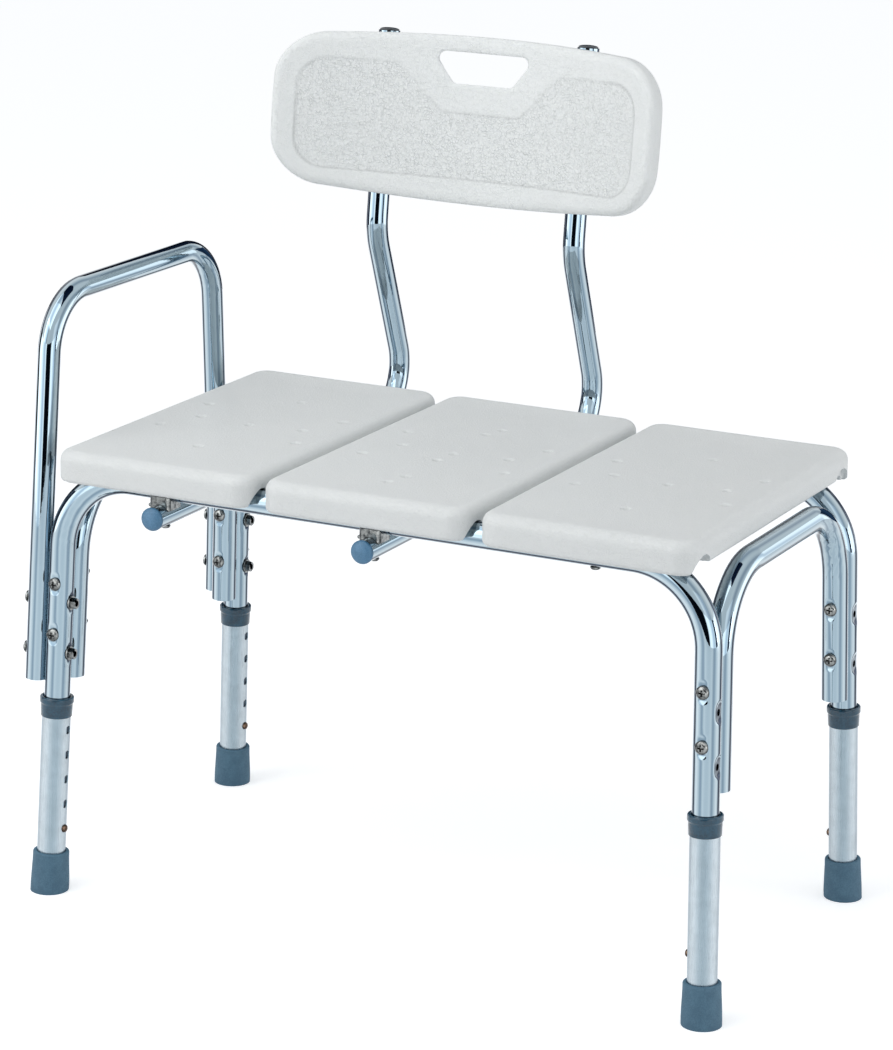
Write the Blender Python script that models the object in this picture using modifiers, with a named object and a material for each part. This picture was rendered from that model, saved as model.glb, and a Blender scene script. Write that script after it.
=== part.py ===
"""Transfer bath bench: three moulded seat panels on a bolted tube frame, a backrest on two bent
posts, one arm rail, and four telescoping legs locked by snap buttons.

Lengths are in metres. +X runs along the seat away from the arm rail, +Y towards the backrest, +Z up.
Everything is laid out about the middle of the leg frame, and the last step moves the bench so that
the origin is under the middle of its outline.
"""

import math

import bmesh
import bpy
from mathutils import Matrix, Quaternion, Vector

# Leg frame: how far the feet stand outside the seat's ends and from its middle line, and
# how far the legs lean inward
FOOT_OUTSET = 0.01325
FOOT_Y = 0.1830
SPLAY_X = math.radians(1.90)
SPLAY_Y = math.radians(1.80)

# Frame tube. The rail's height adds up from the collar, the cross frame's run and its bend
TUBE_RADIUS = 0.0127
TUBE_WALL = 0.0016
RAIL_BEND = 0.0762
LEG_END_HEIGHT = 0.0460
END_GAP = 0.0145
CROSS_RUN = 0.1208
CROSS_BEND = 0.0762
CROSS_DROP = 0.0133

# Arm rail, on the left, parallel to the legs up to its knee and then leaning in
ARM_RADIUS = 0.0111
ARM_WALL = 0.0015
ARM_RISE = 0.1367
ARM_KNEE_DROP = 0.0953
ARM_KNEE_BEND = 0.1500
ARM_LEAN_X = math.radians(0.48)
ARM_LEAN_Y = math.radians(4.40)
ARM_TOP_BEND = 0.0600

# Back posts: flat under the rails, up behind the seat, forward, then nearly upright
POST_RADIUS = 0.0111
POST_WALL = 0.0015
POST_NOSE = 0.0233
POST_REACH = 0.1729
POST_ELBOW_BEND = 0.0500
POST_LEAN = math.radians(22.6)
POST_KNEE_DROP = 0.0383
POST_KNEE_BEND = 0.0700
RECLINE = math.radians(6.5)
POST_TOP_DROP = 0.0023

# Seat panels
PANEL_WIDTH = 0.2125
PANEL_OVERHANG = 0.03287
PANEL_GAP = 0.0110
PANEL_DECK = 0.0162
PANEL_SET_BACK = 0.0020
PANEL_THICKNESS = 0.0310
PANEL_SIDE_RISE = 0.0050
PANEL_CORNER = 0.0200
PANEL_TOP_ROUND = 0.0110
PANEL_BOTTOM_ROUND = 0.0040
PANEL_LIP = 0.0165
PANEL_SKIN = 0.0035
PANEL_SCREW_DEPTH = 0.0090
NOTCH_RADIUS = 0.0190
NOTCH_DEPTH = 0.0070
NOTCH_OFFSET = 0.0040
DIMPLE_RADIUS = 0.0048
DIMPLE_DEPTH = 0.0009
DIMPLE_END_Y = 0.1040
DIMPLE_OUTER_X = 0.0755
DIMPLE_OUTER_Y = 0.0485
DIMPLE_INNER_X = 0.0570
DIMPLE_DROP = 0.0050
DIMPLE_SHIFT_X = 0.0030
DIMPLE_SHIFT_Y = -0.0110
VENT_RADIUS = 0.0040

# Backrest
BACK_WIDTH = 0.4180
BACK_HEIGHT = 0.1705
BACK_RISE = 0.3535
BACK_BOTTOM_BOW = 0.0070
BACK_TOP_BOW = 0.0060
BACK_SIDE_BOW = 0.0040
BACK_CORNER = 0.0480
BACK_THICKNESS = 0.0340
BACK_WAIST = 0.0125
BACK_ROUND = 0.0100
BACK_FORWARD = 0.0092
BACK_CURL = 0.0360
RECESS_MARGIN = 0.0260
RECESS_SIDE = 0.0205
RECESS_FOOT = 0.0185
RECESS_DEPTH = 0.0024
RECESS_CORNER = 0.0300
BOSS_TOP_HALF = 0.0900
BOSS_BOTTOM_HALF = 0.0440
BOSS_DROP = 0.0298
SLOT_MARGIN = 0.0165
SLOT_HEIGHT = 0.0318
SLOT_TOP_HALF = 0.0575
SLOT_BOTTOM_HALF = 0.0315
SLOT_CORNER = 0.0075
SLOT_SIDE_FLARE = math.radians(26.0)
SLOT_FOOT_FLARE = math.radians(10.0)

# Telescoping legs
HOLE_PITCH = 0.0254
HOLE_COUNT = 5
BUTTON_HEIGHT = 0.0660
EXTENSION_RADIUS = 0.0140
EXTENSION_FLOOR = 0.0055
EXTENSION_TOP = 0.1925
COLLAR_LAP = 0.0120
COLLAR_HEIGHT = 0.0200
COLLAR_TOP_RADIUS = 0.0166
COLLAR_BOTTOM_RADIUS = 0.0152
COLLAR_EDGE = 0.0010
TIP_HEIGHT = 0.0410
TIP_BASE_RADIUS = 0.0192
TIP_SHOULDER_RADIUS = 0.0178
TIP_RIM = 0.0020
BUTTON_RADIUS = 0.0038
BUTTON_PROUD = 0.0030
BUTTON_BACK = 0.0095
SPRING_THICKNESS = 0.0008
SPRING_WIDTH = 0.0070
SPRING_LENGTH = 0.0320

# Fasteners
BOLT_RADIUS = 0.0030
BOLT_HEAD_RADIUS = 0.0065
BOLT_HEAD_HEIGHT = 0.0036
BOLT_TAIL = 0.0025
BOLT_SPACING = 0.0508
CROSS_BOLT_FRONT_DROP = 0.0198
CROSS_BOLT_REAR_DROP = 0.0273
ARM_BOLT_DROP = 0.0125
NUT_RADIUS = 0.0056
NUT_HEIGHT = 0.0050
WASHER_RADIUS = 0.0072
WASHER_THICKNESS = 0.0012
FLAT_DEPTH = 0.0010
FLAT_RADIUS = 0.0085
SCREW_RADIUS = 0.0026
SCREW_HEAD_RADIUS = 0.0048
SCREW_HEAD_HEIGHT = 0.0028
BACK_SCREW_GRIP = 0.0050

# Saddles between the rails and the posts
SADDLE_LENGTH = 0.0240
SADDLE_WIDTH = 0.0220
SADDLE_HEIGHT = 0.0130
SADDLE_THICKNESS = 0.0022
SADDLE_LIP_RADIUS = 0.0018
SADDLE_LIP_LENGTH = 0.0180

# Plastic end caps of the posts
CAP_STEM = 0.0140
FRONT_CAP_RADIUS = 0.0113
FRONT_CAP_DOME = 0.0060
TOP_CAP_RADIUS = 0.0100
TOP_CAP_DOME = 0.0028

# Clearances: SEAT between pieces that touch, HOLE round a shank, RUN between leg and extension
SEAT = 0.0003
HOLE = 0.0004
RUN = 0.0003

# Places that follow from the sizes above
COLLAR_BOTTOM = EXTENSION_TOP - COLLAR_LAP
COLLAR_TOP = COLLAR_BOTTOM + COLLAR_HEIGHT
TUBE_END_HEIGHT = COLLAR_TOP + END_GAP
CROSS_RUN_TOP = TUBE_END_HEIGHT + CROSS_RUN
CROSS_HEIGHT = CROSS_RUN_TOP + CROSS_BEND
RAIL_HEIGHT = CROSS_HEIGHT + CROSS_DROP
RAIL_Y = FOOT_Y - math.tan(SPLAY_Y) * RAIL_HEIGHT
PANEL_TOP = RAIL_HEIGHT + TUBE_RADIUS + SEAT + PANEL_DECK
PANEL_DEPTH = 2 * (RAIL_Y + PANEL_OVERHANG)
PANEL_PITCH = PANEL_WIDTH + PANEL_GAP
FOOT_X = 1.5 * PANEL_PITCH + FOOT_OUTSET
PANEL_X = {"left": -PANEL_PITCH, "middle": 0.0, "right": PANEL_PITCH}
ARM_TOP_HEIGHT = PANEL_TOP + ARM_RISE
ARM_KNEE_HEIGHT = RAIL_HEIGHT - ARM_KNEE_DROP
BACK_TOP = PANEL_TOP + BACK_RISE
BACK_BOTTOM = BACK_TOP - BACK_HEIGHT
BACK_SCREW_HEIGHT = (BACK_BOTTOM + BACK_TOP) / 2
SLOT_TOP = BACK_TOP - SLOT_MARGIN
SLOT_BOTTOM = SLOT_TOP - SLOT_HEIGHT
BOSS_BOTTOM = SLOT_BOTTOM - BOSS_DROP
POST_X = {"left": PANEL_X["left"], "right": PANEL_X["middle"]}
POST_HEIGHT = RAIL_HEIGHT - TUBE_RADIUS - SADDLE_THICKNESS - POST_RADIUS
POST_FRONT_Y = -RAIL_Y - POST_NOSE
POST_ELBOW_Y = RAIL_Y + POST_REACH
POST_KNEE_HEIGHT = BACK_BOTTOM - POST_KNEE_DROP
POST_TOP_HEIGHT = BACK_TOP - POST_TOP_DROP
BACK_X = (POST_X["left"] + POST_X["right"]) / 2

# How finely round shapes are divided
TUBE_SIDES = 12
TURNED_SIDES = 16
SMALL_SIDES = 8
HOLE_SIDES = 6
BEND_STEP = math.radians(15)
SHARP_ANGLE = math.radians(32)
MERGE_DISTANCE = 1e-6

SIDES = {"left": -1, "right": 1}
ROWS = {"front": -1, "rear": 1}
CORNERS = [(row, side) for row in ROWS for side in SIDES]
LEVELS = ["upper", "lower"]

CHROME = ((0.80, 0.82, 0.84), 0.08, 1.0)
ALUMINIUM = ((0.66, 0.70, 0.74), 0.35, 1.0)
PLASTIC = ((0.73, 0.75, 0.73), 0.55, 0.0)
RUBBER = ((0.070, 0.140, 0.215), 0.70, 0.0)
COLLAR_PLASTIC = ((0.045, 0.100, 0.150), 0.50, 0.0)
CAP_PLASTIC = ((0.095, 0.200, 0.330), 0.50, 0.0)
DARK_PLASTIC = ((0.012, 0.020, 0.030), 0.45, 0.0)
BRASS = ((0.36, 0.17, 0.09), 0.35, 1.0)
STEEL = ((0.55, 0.57, 0.60), 0.25, 1.0)


def clear_scene():
    """Remove whatever the file holds, so that the model starts from nothing."""
    for old in list(bpy.data.objects):
        bpy.data.objects.remove(old, do_unlink=True)


def new_collection(name, hidden=False):
    """Add a collection to the scene."""
    collection = bpy.data.collections.new(name)
    collection.hide_render = hidden
    bpy.context.scene.collection.children.link(collection)
    return collection


def new_material(name, finish):
    """Make one part's own Principled material from its colour, roughness and metallic value."""
    colour, roughness, metallic = finish
    material = bpy.data.materials.new(name + "_finish")
    material.use_nodes = True
    shader = material.node_tree.nodes["Principled BSDF"]
    shader.inputs["Base Color"].default_value = (*colour, 1.0)
    shader.inputs["Roughness"].default_value = roughness
    shader.inputs["Metallic"].default_value = metallic
    material.diffuse_color = (*colour, 1.0)
    return material


def add_part(name, mesh, finish, parent=None, matrix=None):
    """Put a finished mesh in the bench's collection under its own name and material."""
    part = bpy.data.objects.new(name, mesh)
    mesh.name = name
    mesh.materials.clear()
    mesh.materials.append(new_material(name, finish))
    mesh.shade_smooth()
    mesh.set_sharp_from_angle(angle=SHARP_ANGLE)
    part.parent = parent
    part.matrix_local = matrix or Matrix()
    BENCH.objects.link(part)
    return part


def add_guide(name, data):
    """Put a cutter or a shape still being worked on in the cutters' collection."""
    guide = bpy.data.objects.new(name, data)
    guide.hide_render = True
    guide.display_type = "WIRE"
    CUTTERS.objects.link(guide)
    return guide


def settled_mesh(source):
    """The mesh of an object with its modifiers applied. The object is then removed."""
    bpy.context.view_layer.update()
    graph = bpy.context.evaluated_depsgraph_get()
    mesh = bpy.data.meshes.new_from_object(source.evaluated_get(graph), depsgraph=graph)
    mesh.transform(source.matrix_world)
    bpy.data.objects.remove(source, do_unlink=True)
    work = bmesh.new()
    work.from_mesh(mesh)
    bmesh.ops.remove_doubles(work, verts=work.verts, dist=MERGE_DISTANCE)
    work.to_mesh(mesh)
    work.free()
    return mesh


def aim(point, direction):
    """A place at the point whose Z axis runs along the direction."""
    turn = Vector(direction).to_track_quat("Z", "Y").to_matrix().to_4x4()
    return Matrix.Translation(point) @ turn


def joined(meshes):
    """One mesh of several separate solids, each given with its place."""
    work = bmesh.new()
    for mesh, place in meshes:
        moved = mesh.copy()
        moved.transform(place)
        work.from_mesh(moved)
        bpy.data.meshes.remove(moved)
    result = bpy.data.meshes.new("joined")
    work.to_mesh(result)
    work.free()
    return result


def rod(radius, length, sides, flats_outside=False):
    """A cylinder along Z from the origin. With flats_outside its flats lie at the radius."""
    reach = radius / math.cos(math.pi / sides) if flats_outside else radius
    work = bmesh.new()
    bmesh.ops.create_cone(
        work, cap_ends=True, segments=sides, radius1=reach, radius2=reach, depth=length,
        matrix=Matrix.Translation((0, 0, length / 2)),
    )
    mesh = bpy.data.meshes.new("rod")
    work.to_mesh(mesh)
    work.free()
    return mesh


def block(size, centre):
    """A box of the given size about its centre."""
    work = bmesh.new()
    place = Matrix.Translation(centre) @ Matrix.Diagonal((*size, 1))
    bmesh.ops.create_cube(work, size=1.0, matrix=place)
    mesh = bpy.data.meshes.new("block")
    work.to_mesh(mesh)
    work.free()
    return mesh


def boolean(mesh, cutters, operation="DIFFERENCE"):
    """Cut the joined cutters out of the mesh, or unite the mesh with them."""
    body = add_guide("body", mesh)
    tool = add_guide("tool", joined(cutters))
    step = body.modifiers.new("cut", "BOOLEAN")
    step.operation = operation
    step.solver = "EXACT"
    step.object = tool
    result = settled_mesh(body)
    bpy.data.objects.remove(tool, do_unlink=True)
    return result


def turned(profile, sides=TURNED_SIDES):
    """A solid of revolution about Z. The profile lists (radius, height) down the outer side."""
    mesh = bpy.data.meshes.new("profile")
    closed = profile[0][0] > 0
    count = len(profile)
    edges = [(i, i + 1) for i in range(count - 1)] + ([(count - 1, 0)] if closed else [])
    mesh.from_pydata([(radius, 0, height) for radius, height in profile], edges, [])
    body = add_guide("turned", mesh)
    lathe = body.modifiers.new("lathe", "SCREW")
    lathe.steps = sides
    lathe.render_steps = sides
    lathe.use_merge_vertices = True
    lathe.merge_threshold = 10 * MERGE_DISTANCE
    lathe.use_smooth_shade = True
    return settled_mesh(body)


def rounded_path(corners, radii):
    """Points along straight runs whose inner corners are bent to the given radii."""
    points = [corners[0]]
    for before, corner, after, radius in zip(corners, corners[1:], corners[2:], radii):
        back = (before - corner).normalized()
        ahead = (after - corner).normalized()
        half = back.angle(ahead) / 2
        centre = corner + (back + ahead).normalized() * radius / math.sin(half)
        start = corner + back * radius / math.tan(half) - centre
        end = corner + ahead * radius / math.tan(half) - centre
        arc = start.angle(end)
        steps = max(2, math.ceil(arc / BEND_STEP))
        axis = start.cross(end)
        points += [centre + Quaternion(axis, arc * i / steps) @ start for i in range(steps + 1)]
    points.append(corners[-1])
    return points


def tube(path, radius, wall):
    """A bent tube with open ends: a swept skin thickened inward."""
    curve = bpy.data.curves.new("sweep", "CURVE")
    curve.dimensions = "3D"
    curve.bevel_depth = radius
    curve.bevel_resolution = TUBE_SIDES // 2 - 2
    curve.use_fill_caps = False
    spline = curve.splines.new("POLY")
    spline.points.add(len(path) - 1)
    for point, place in zip(spline.points, path):
        point.co = (*place, 1)
    skin = settled_mesh(add_guide("sweep", curve))
    body = add_guide("skin", skin)
    thicken = body.modifiers.new("wall", "SOLIDIFY")
    thicken.thickness = wall
    thicken.offset = -1
    thicken.use_even_offset = True
    return settled_mesh(body)


def outline_solid(points, thickness, round_edge=0.0):
    """A flat outline in X and Z made solid about Y = 0, with its edges rounded."""
    curve = bpy.data.curves.new("outline", "CURVE")
    curve.dimensions = "2D"
    curve.fill_mode = "BOTH"
    curve.extrude = thickness / 2 - round_edge
    curve.bevel_depth = round_edge
    curve.bevel_resolution = 1
    curve.offset = -round_edge
    spline = curve.splines.new("POLY")
    spline.points.add(len(points) - 1)
    for point, (x, z) in zip(spline.points, points):
        point.co = (x, z, 0, 1)
    spline.use_cyclic_u = True
    mesh = settled_mesh(add_guide("outline", curve))
    mesh.transform(Matrix.Rotation(math.radians(90), 4, "X"))
    return mesh


def fillet_outline(corners, radii, step=math.radians(18)):
    """A closed outline whose corners, given as (x, z), are rounded to the radii."""
    points = []
    count = len(corners)
    for i, (corner, radius) in enumerate(zip(corners, radii)):
        here = Vector(corner)
        back = (Vector(corners[i - 1]) - here).normalized()
        ahead = (Vector(corners[(i + 1) % count]) - here).normalized()
        half = back.angle(ahead) / 2
        centre = here + (back + ahead).normalized() * radius / math.sin(half)
        start = here + back * radius / math.tan(half) - centre
        end = here + ahead * radius / math.tan(half) - centre
        arc = start.angle(end)
        steps = max(1, math.ceil(arc / step))
        sense = 1 if start.x * end.y - start.y * end.x > 0 else -1
        turns = [Matrix.Rotation(sense * arc * i / steps, 2) for i in range(steps + 1)]
        points += [tuple(centre + turn @ start) for turn in turns]
    return points


def leg_point(row, side, height):
    """The centre line of a leg at a height."""
    x = FOOT_X - math.tan(SPLAY_X) * height
    y = FOOT_Y - math.tan(SPLAY_Y) * height
    return Vector((SIDES[side] * x, ROWS[row] * y, height))


def cross_point(row, side, height):
    """The centre line of a cross frame's leg, on the inner side of the main leg."""
    inward = Vector((0, -ROWS[row] * (2 * TUBE_RADIUS + SEAT), 0))
    return leg_point(row, side, height) + inward


def arm_point(row, height):
    """The centre line of the arm rail's lower stretch, outside the left legs."""
    outward = Vector((-(TUBE_RADIUS + ARM_RADIUS + SEAT), 0, 0))
    return leg_point(row, "left", height) + outward


def rail_point(row, x):
    """The centre line of a long rail."""
    return Vector((x, ROWS[row] * RAIL_Y, RAIL_HEIGHT))


def post_axis(height):
    """How far back a post's upper stretch stands at a height."""
    knee_y = POST_ELBOW_Y - math.tan(POST_LEAN) * (POST_KNEE_HEIGHT - POST_HEIGHT)
    return knee_y + math.tan(RECLINE) * (height - POST_KNEE_HEIGHT)


def cross_bolt_heights(row):
    """The heights of the two bolts that join a cross frame to a leg."""
    drop = CROSS_BOLT_FRONT_DROP if row == "front" else CROSS_BOLT_REAR_DROP
    top = CROSS_RUN_TOP - drop
    return [top, top - BOLT_SPACING]


def arm_bolt_heights():
    """The heights of the two bolts that join the arm rail to a leg."""
    return [height - ARM_BOLT_DROP for height in cross_bolt_heights("rear")]


def flat_cut(axis_point, direction, radius):
    """A cutter that leaves a flat bolt seat on a tube, on the side that the direction names."""
    start = Vector(axis_point) + Vector(direction) * (radius - FLAT_DEPTH)
    return rod(FLAT_RADIUS, 2 * FLAT_DEPTH + SEAT, TUBE_SIDES), aim(start, direction)


def through_cut(axis_point, direction, hole_radius, reach):
    """A cutter for a hole right through a tube, along the direction."""
    start = Vector(axis_point) - Vector(direction) * reach
    return rod(hole_radius, 2 * reach, HOLE_SIDES, flats_outside=True), aim(start, direction)


def side_cut(axis_point, direction, hole_radius, reach):
    """A cutter for a hole in one wall of a tube, on the side that the direction names."""
    return rod(hole_radius, reach, HOLE_SIDES, flats_outside=True), aim(axis_point, direction)


def leg_frame(row, side):
    """The place of a leg: its origin on the floor, Z up the leg and X towards the middle."""
    foot = leg_point(row, side, 0)
    up = (leg_point(row, side, RAIL_HEIGHT) - foot).normalized()
    across = up.cross(Vector((-SIDES[side], 0, 0))).normalized()
    inward = across.cross(up)
    return Matrix.Translation(foot) @ Matrix((inward, across, up)).transposed().to_4x4()


def long_frame(row):
    """A front or rear frame: one rail and its two legs, bent from one tube."""
    corners = [
        leg_point(row, "left", LEG_END_HEIGHT),
        leg_point(row, "left", RAIL_HEIGHT),
        leg_point(row, "right", RAIL_HEIGHT),
        leg_point(row, "right", LEG_END_HEIGHT),
    ]
    mesh = tube(rounded_path(corners, [RAIL_BEND, RAIL_BEND]), TUBE_RADIUS, TUBE_WALL)
    flats = []
    holes = []
    reach = 1.5 * TUBE_RADIUS
    outer_y = Vector((0, ROWS[row], 0))
    for side in SIDES:
        for height in cross_bolt_heights(row):
            centre = leg_point(row, side, height)
            flats.append(flat_cut(centre, outer_y, TUBE_RADIUS))
            holes.append(through_cut(centre, (0, 1, 0), BOLT_RADIUS + HOLE, reach))
        for height in arm_bolt_heights():
            centre = leg_point(row, side, height)
            flats.append(flat_cut(centre, (1, 0, 0), TUBE_RADIUS))
            holes.append(through_cut(centre, (1, 0, 0), BOLT_RADIUS + HOLE, reach))
        cutter, place = side_cut((0, 0, BUTTON_HEIGHT), (1, 0, 0), BUTTON_RADIUS + HOLE, reach)
        holes.append((cutter, leg_frame(row, side) @ place))
    for x in PANEL_X.values():
        holes.append(through_cut(rail_point(row, x), (0, 0, 1), SCREW_RADIUS + HOLE, reach))
    mesh = boolean(mesh, flats)
    mesh = boolean(mesh, holes)
    add_part(row + "_rail_frame", mesh, CHROME, ROOT)


def cross_frame(side):
    """A left or right frame that joins the long frames under the seat's end."""
    corners = [
        cross_point("front", side, TUBE_END_HEIGHT),
        cross_point("front", side, CROSS_HEIGHT),
        cross_point("rear", side, CROSS_HEIGHT),
        cross_point("rear", side, TUBE_END_HEIGHT),
    ]
    mesh = tube(rounded_path(corners, [CROSS_BEND, CROSS_BEND]), TUBE_RADIUS, TUBE_WALL)
    flats = []
    holes = []
    for row in ROWS:
        for height in cross_bolt_heights(row):
            centre = cross_point(row, side, height)
            flats.append(flat_cut(centre, (0, -ROWS[row], 0), TUBE_RADIUS))
            holes.append(through_cut(centre, (0, 1, 0), BOLT_RADIUS + HOLE, 1.5 * TUBE_RADIUS))
    mesh = boolean(mesh, flats)
    mesh = boolean(mesh, holes)
    add_part(side + "_cross_frame", mesh, CHROME, ROOT)


def arm_rail():
    """The arm rail: one bent tube, bolted outside the two left legs."""
    rise = ARM_TOP_HEIGHT - ARM_KNEE_HEIGHT
    corners = []
    for row in ROWS:
        knee = arm_point(row, ARM_KNEE_HEIGHT)
        lean = Vector((math.tan(ARM_LEAN_X), -ROWS[row] * math.tan(ARM_LEAN_Y), 1))
        run = [arm_point(row, TUBE_END_HEIGHT), knee, knee + lean * rise]
        corners += run if row == "front" else run[::-1]
    radii = [ARM_KNEE_BEND, ARM_TOP_BEND, ARM_TOP_BEND, ARM_KNEE_BEND]
    mesh = tube(rounded_path(corners, radii), ARM_RADIUS, ARM_WALL)
    flats = []
    holes = []
    for row in ROWS:
        for height in arm_bolt_heights():
            centre = arm_point(row, height)
            flats.append(flat_cut(centre, (-1, 0, 0), ARM_RADIUS))
            holes.append(through_cut(centre, (1, 0, 0), BOLT_RADIUS + HOLE, 1.5 * ARM_RADIUS))
    mesh = boolean(mesh, flats)
    mesh = boolean(mesh, holes)
    add_part("arm_rail", mesh, CHROME, ROOT)


def back_post(side):
    """A back post, with the holes for its two rail screws and its backrest screw."""
    x = POST_X[side]
    corners = [
        Vector((x, POST_FRONT_Y, POST_HEIGHT)),
        Vector((x, POST_ELBOW_Y, POST_HEIGHT)),
        Vector((x, post_axis(POST_KNEE_HEIGHT), POST_KNEE_HEIGHT)),
        Vector((x, post_axis(POST_TOP_HEIGHT), POST_TOP_HEIGHT)),
    ]
    mesh = tube(rounded_path(corners, [POST_ELBOW_BEND, POST_KNEE_BEND]), POST_RADIUS, POST_WALL)
    reach = 1.5 * POST_RADIUS
    holes = []
    for row in ROWS:
        crossing = Vector((x, rail_point(row, x).y, POST_HEIGHT))
        holes.append(through_cut(crossing, (0, 0, 1), SCREW_RADIUS + HOLE, reach))
    centre = Vector((x, post_axis(BACK_SCREW_HEIGHT), BACK_SCREW_HEIGHT))
    holes.append(through_cut(centre, board_normal(), SCREW_RADIUS + HOLE, reach))
    mesh = boolean(mesh, holes)
    add_part("back_post_" + side, mesh, CHROME, ROOT)


def board_normal():
    """The direction square to the backrest, pointing back."""
    return Vector((0, math.cos(RECLINE), -math.sin(RECLINE)))


def board_up():
    """The direction up along the backrest."""
    return Vector((0, math.sin(RECLINE), math.cos(RECLINE)))


def end_cap(name, place, radius, dome, finish):
    """A plug with a domed head, pushed into a post's end. Its stem points down its own Z axis."""
    stem = (POST_RADIUS - POST_WALL) * math.cos(math.pi / TUBE_SIDES) - SEAT
    profile = [
        (0, SEAT + dome),
        (radius * 0.55, SEAT + dome * 0.88),
        (radius * 0.88, SEAT + dome * 0.52),
        (radius, SEAT + dome * 0.18),
        (radius, SEAT),
        (stem, SEAT),
        (stem, -CAP_STEM),
        (0, -CAP_STEM),
    ]
    add_part(name, turned(profile, TUBE_SIDES), finish, ROOT, place)


def post_caps(side):
    """The blue cap on a post's front end and the dark one on its top."""
    x = POST_X[side]
    front = aim((x, POST_FRONT_Y, POST_HEIGHT), (0, -1, 0))
    end_cap("post_front_cap_" + side, front, FRONT_CAP_RADIUS, FRONT_CAP_DOME, CAP_PLASTIC)
    top = aim((x, post_axis(POST_TOP_HEIGHT), POST_TOP_HEIGHT), board_up())
    end_cap("post_top_cap_" + side, top, TOP_CAP_RADIUS, TOP_CAP_DOME, DARK_PLASTIC)


def post_saddle(row, side):
    """A saddle that fills the space where a post crosses under a rail, with a rolled lip."""
    x = POST_X[side]
    y = rail_point(row, x).y
    rail_under = RAIL_HEIGHT - TUBE_RADIUS
    post_over = POST_HEIGHT + POST_RADIUS
    middle = Vector((x, y, (rail_under + post_over) / 2))
    body = block((SADDLE_WIDTH, SADDLE_LENGTH, SADDLE_HEIGHT), middle)
    edge_x = x - SADDLE_WIDTH / 2 - SADDLE_LIP_RADIUS / 2
    lip_start = Vector((edge_x, y - SADDLE_LIP_LENGTH / 2, middle.z - SADDLE_HEIGHT / 4))
    lip = rod(SADDLE_LIP_RADIUS, SADDLE_LIP_LENGTH, SMALL_SIDES)
    body = boolean(body, [(lip, aim(lip_start, (0, 1, 0)))], "UNION")
    reach = 2 * SADDLE_WIDTH
    rail_start = Vector((x - reach, y, RAIL_HEIGHT))
    post_start = Vector((x, y - reach, POST_HEIGHT))
    rail_space = rod(TUBE_RADIUS + SEAT, 2 * reach, TURNED_SIDES, flats_outside=True)
    post_space = rod(POST_RADIUS + SEAT, 2 * reach, TURNED_SIDES, flats_outside=True)
    body = boolean(body, [(rail_space, aim(rail_start, (1, 0, 0)))])
    body = boolean(body, [(post_space, aim(post_start, (0, 1, 0)))])
    body = boolean(body, [through_cut(middle, (0, 0, 1), SCREW_RADIUS + HOLE, SADDLE_HEIGHT)])
    add_part(f"post_saddle_{row}_{side}", body, STEEL, ROOT)


def panel_blank():
    """The outer form of a seat panel about its own middle: rounded corners and top edge."""
    size = (PANEL_WIDTH, PANEL_DEPTH, PANEL_THICKNESS)
    mesh = block(size, (0, 0, PANEL_TOP - PANEL_THICKNESS / 2))
    work = bmesh.new()
    work.from_mesh(mesh)
    upright = [e for e in work.edges if abs(e.verts[0].co.z - e.verts[1].co.z) > PANEL_THICKNESS / 2]
    bmesh.ops.bevel(work, geom=upright, offset=PANEL_CORNER, segments=4, profile=0.5, affect="EDGES")
    top = PANEL_TOP
    bottom = PANEL_TOP - PANEL_THICKNESS
    for level, radius, segments in ((top, PANEL_TOP_ROUND, 3), (bottom, PANEL_BOTTOM_ROUND, 1)):
        ring = [e for e in work.edges if all(abs(v.co.z - level) < MERGE_DISTANCE for v in e.verts)]
        bmesh.ops.bevel(work, geom=ring, offset=radius, segments=segments, profile=0.5, affect="EDGES")
    work.to_mesh(mesh)
    work.free()
    return mesh


def dimple_places():
    """The nine drain dimples of a panel, as (x, y) from its middle."""
    places = [(0.0, -DIMPLE_END_Y), (0.0, -DIMPLE_DROP), (0.0, DIMPLE_END_Y)]
    for side in SIDES.values():
        places.append((side * DIMPLE_INNER_X, 0.0))
        places += [(side * DIMPLE_OUTER_X, row * DIMPLE_OUTER_Y) for row in ROWS.values()]
    return [(x + DIMPLE_SHIFT_X, y + DIMPLE_SHIFT_Y) for x, y in places]


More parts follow.
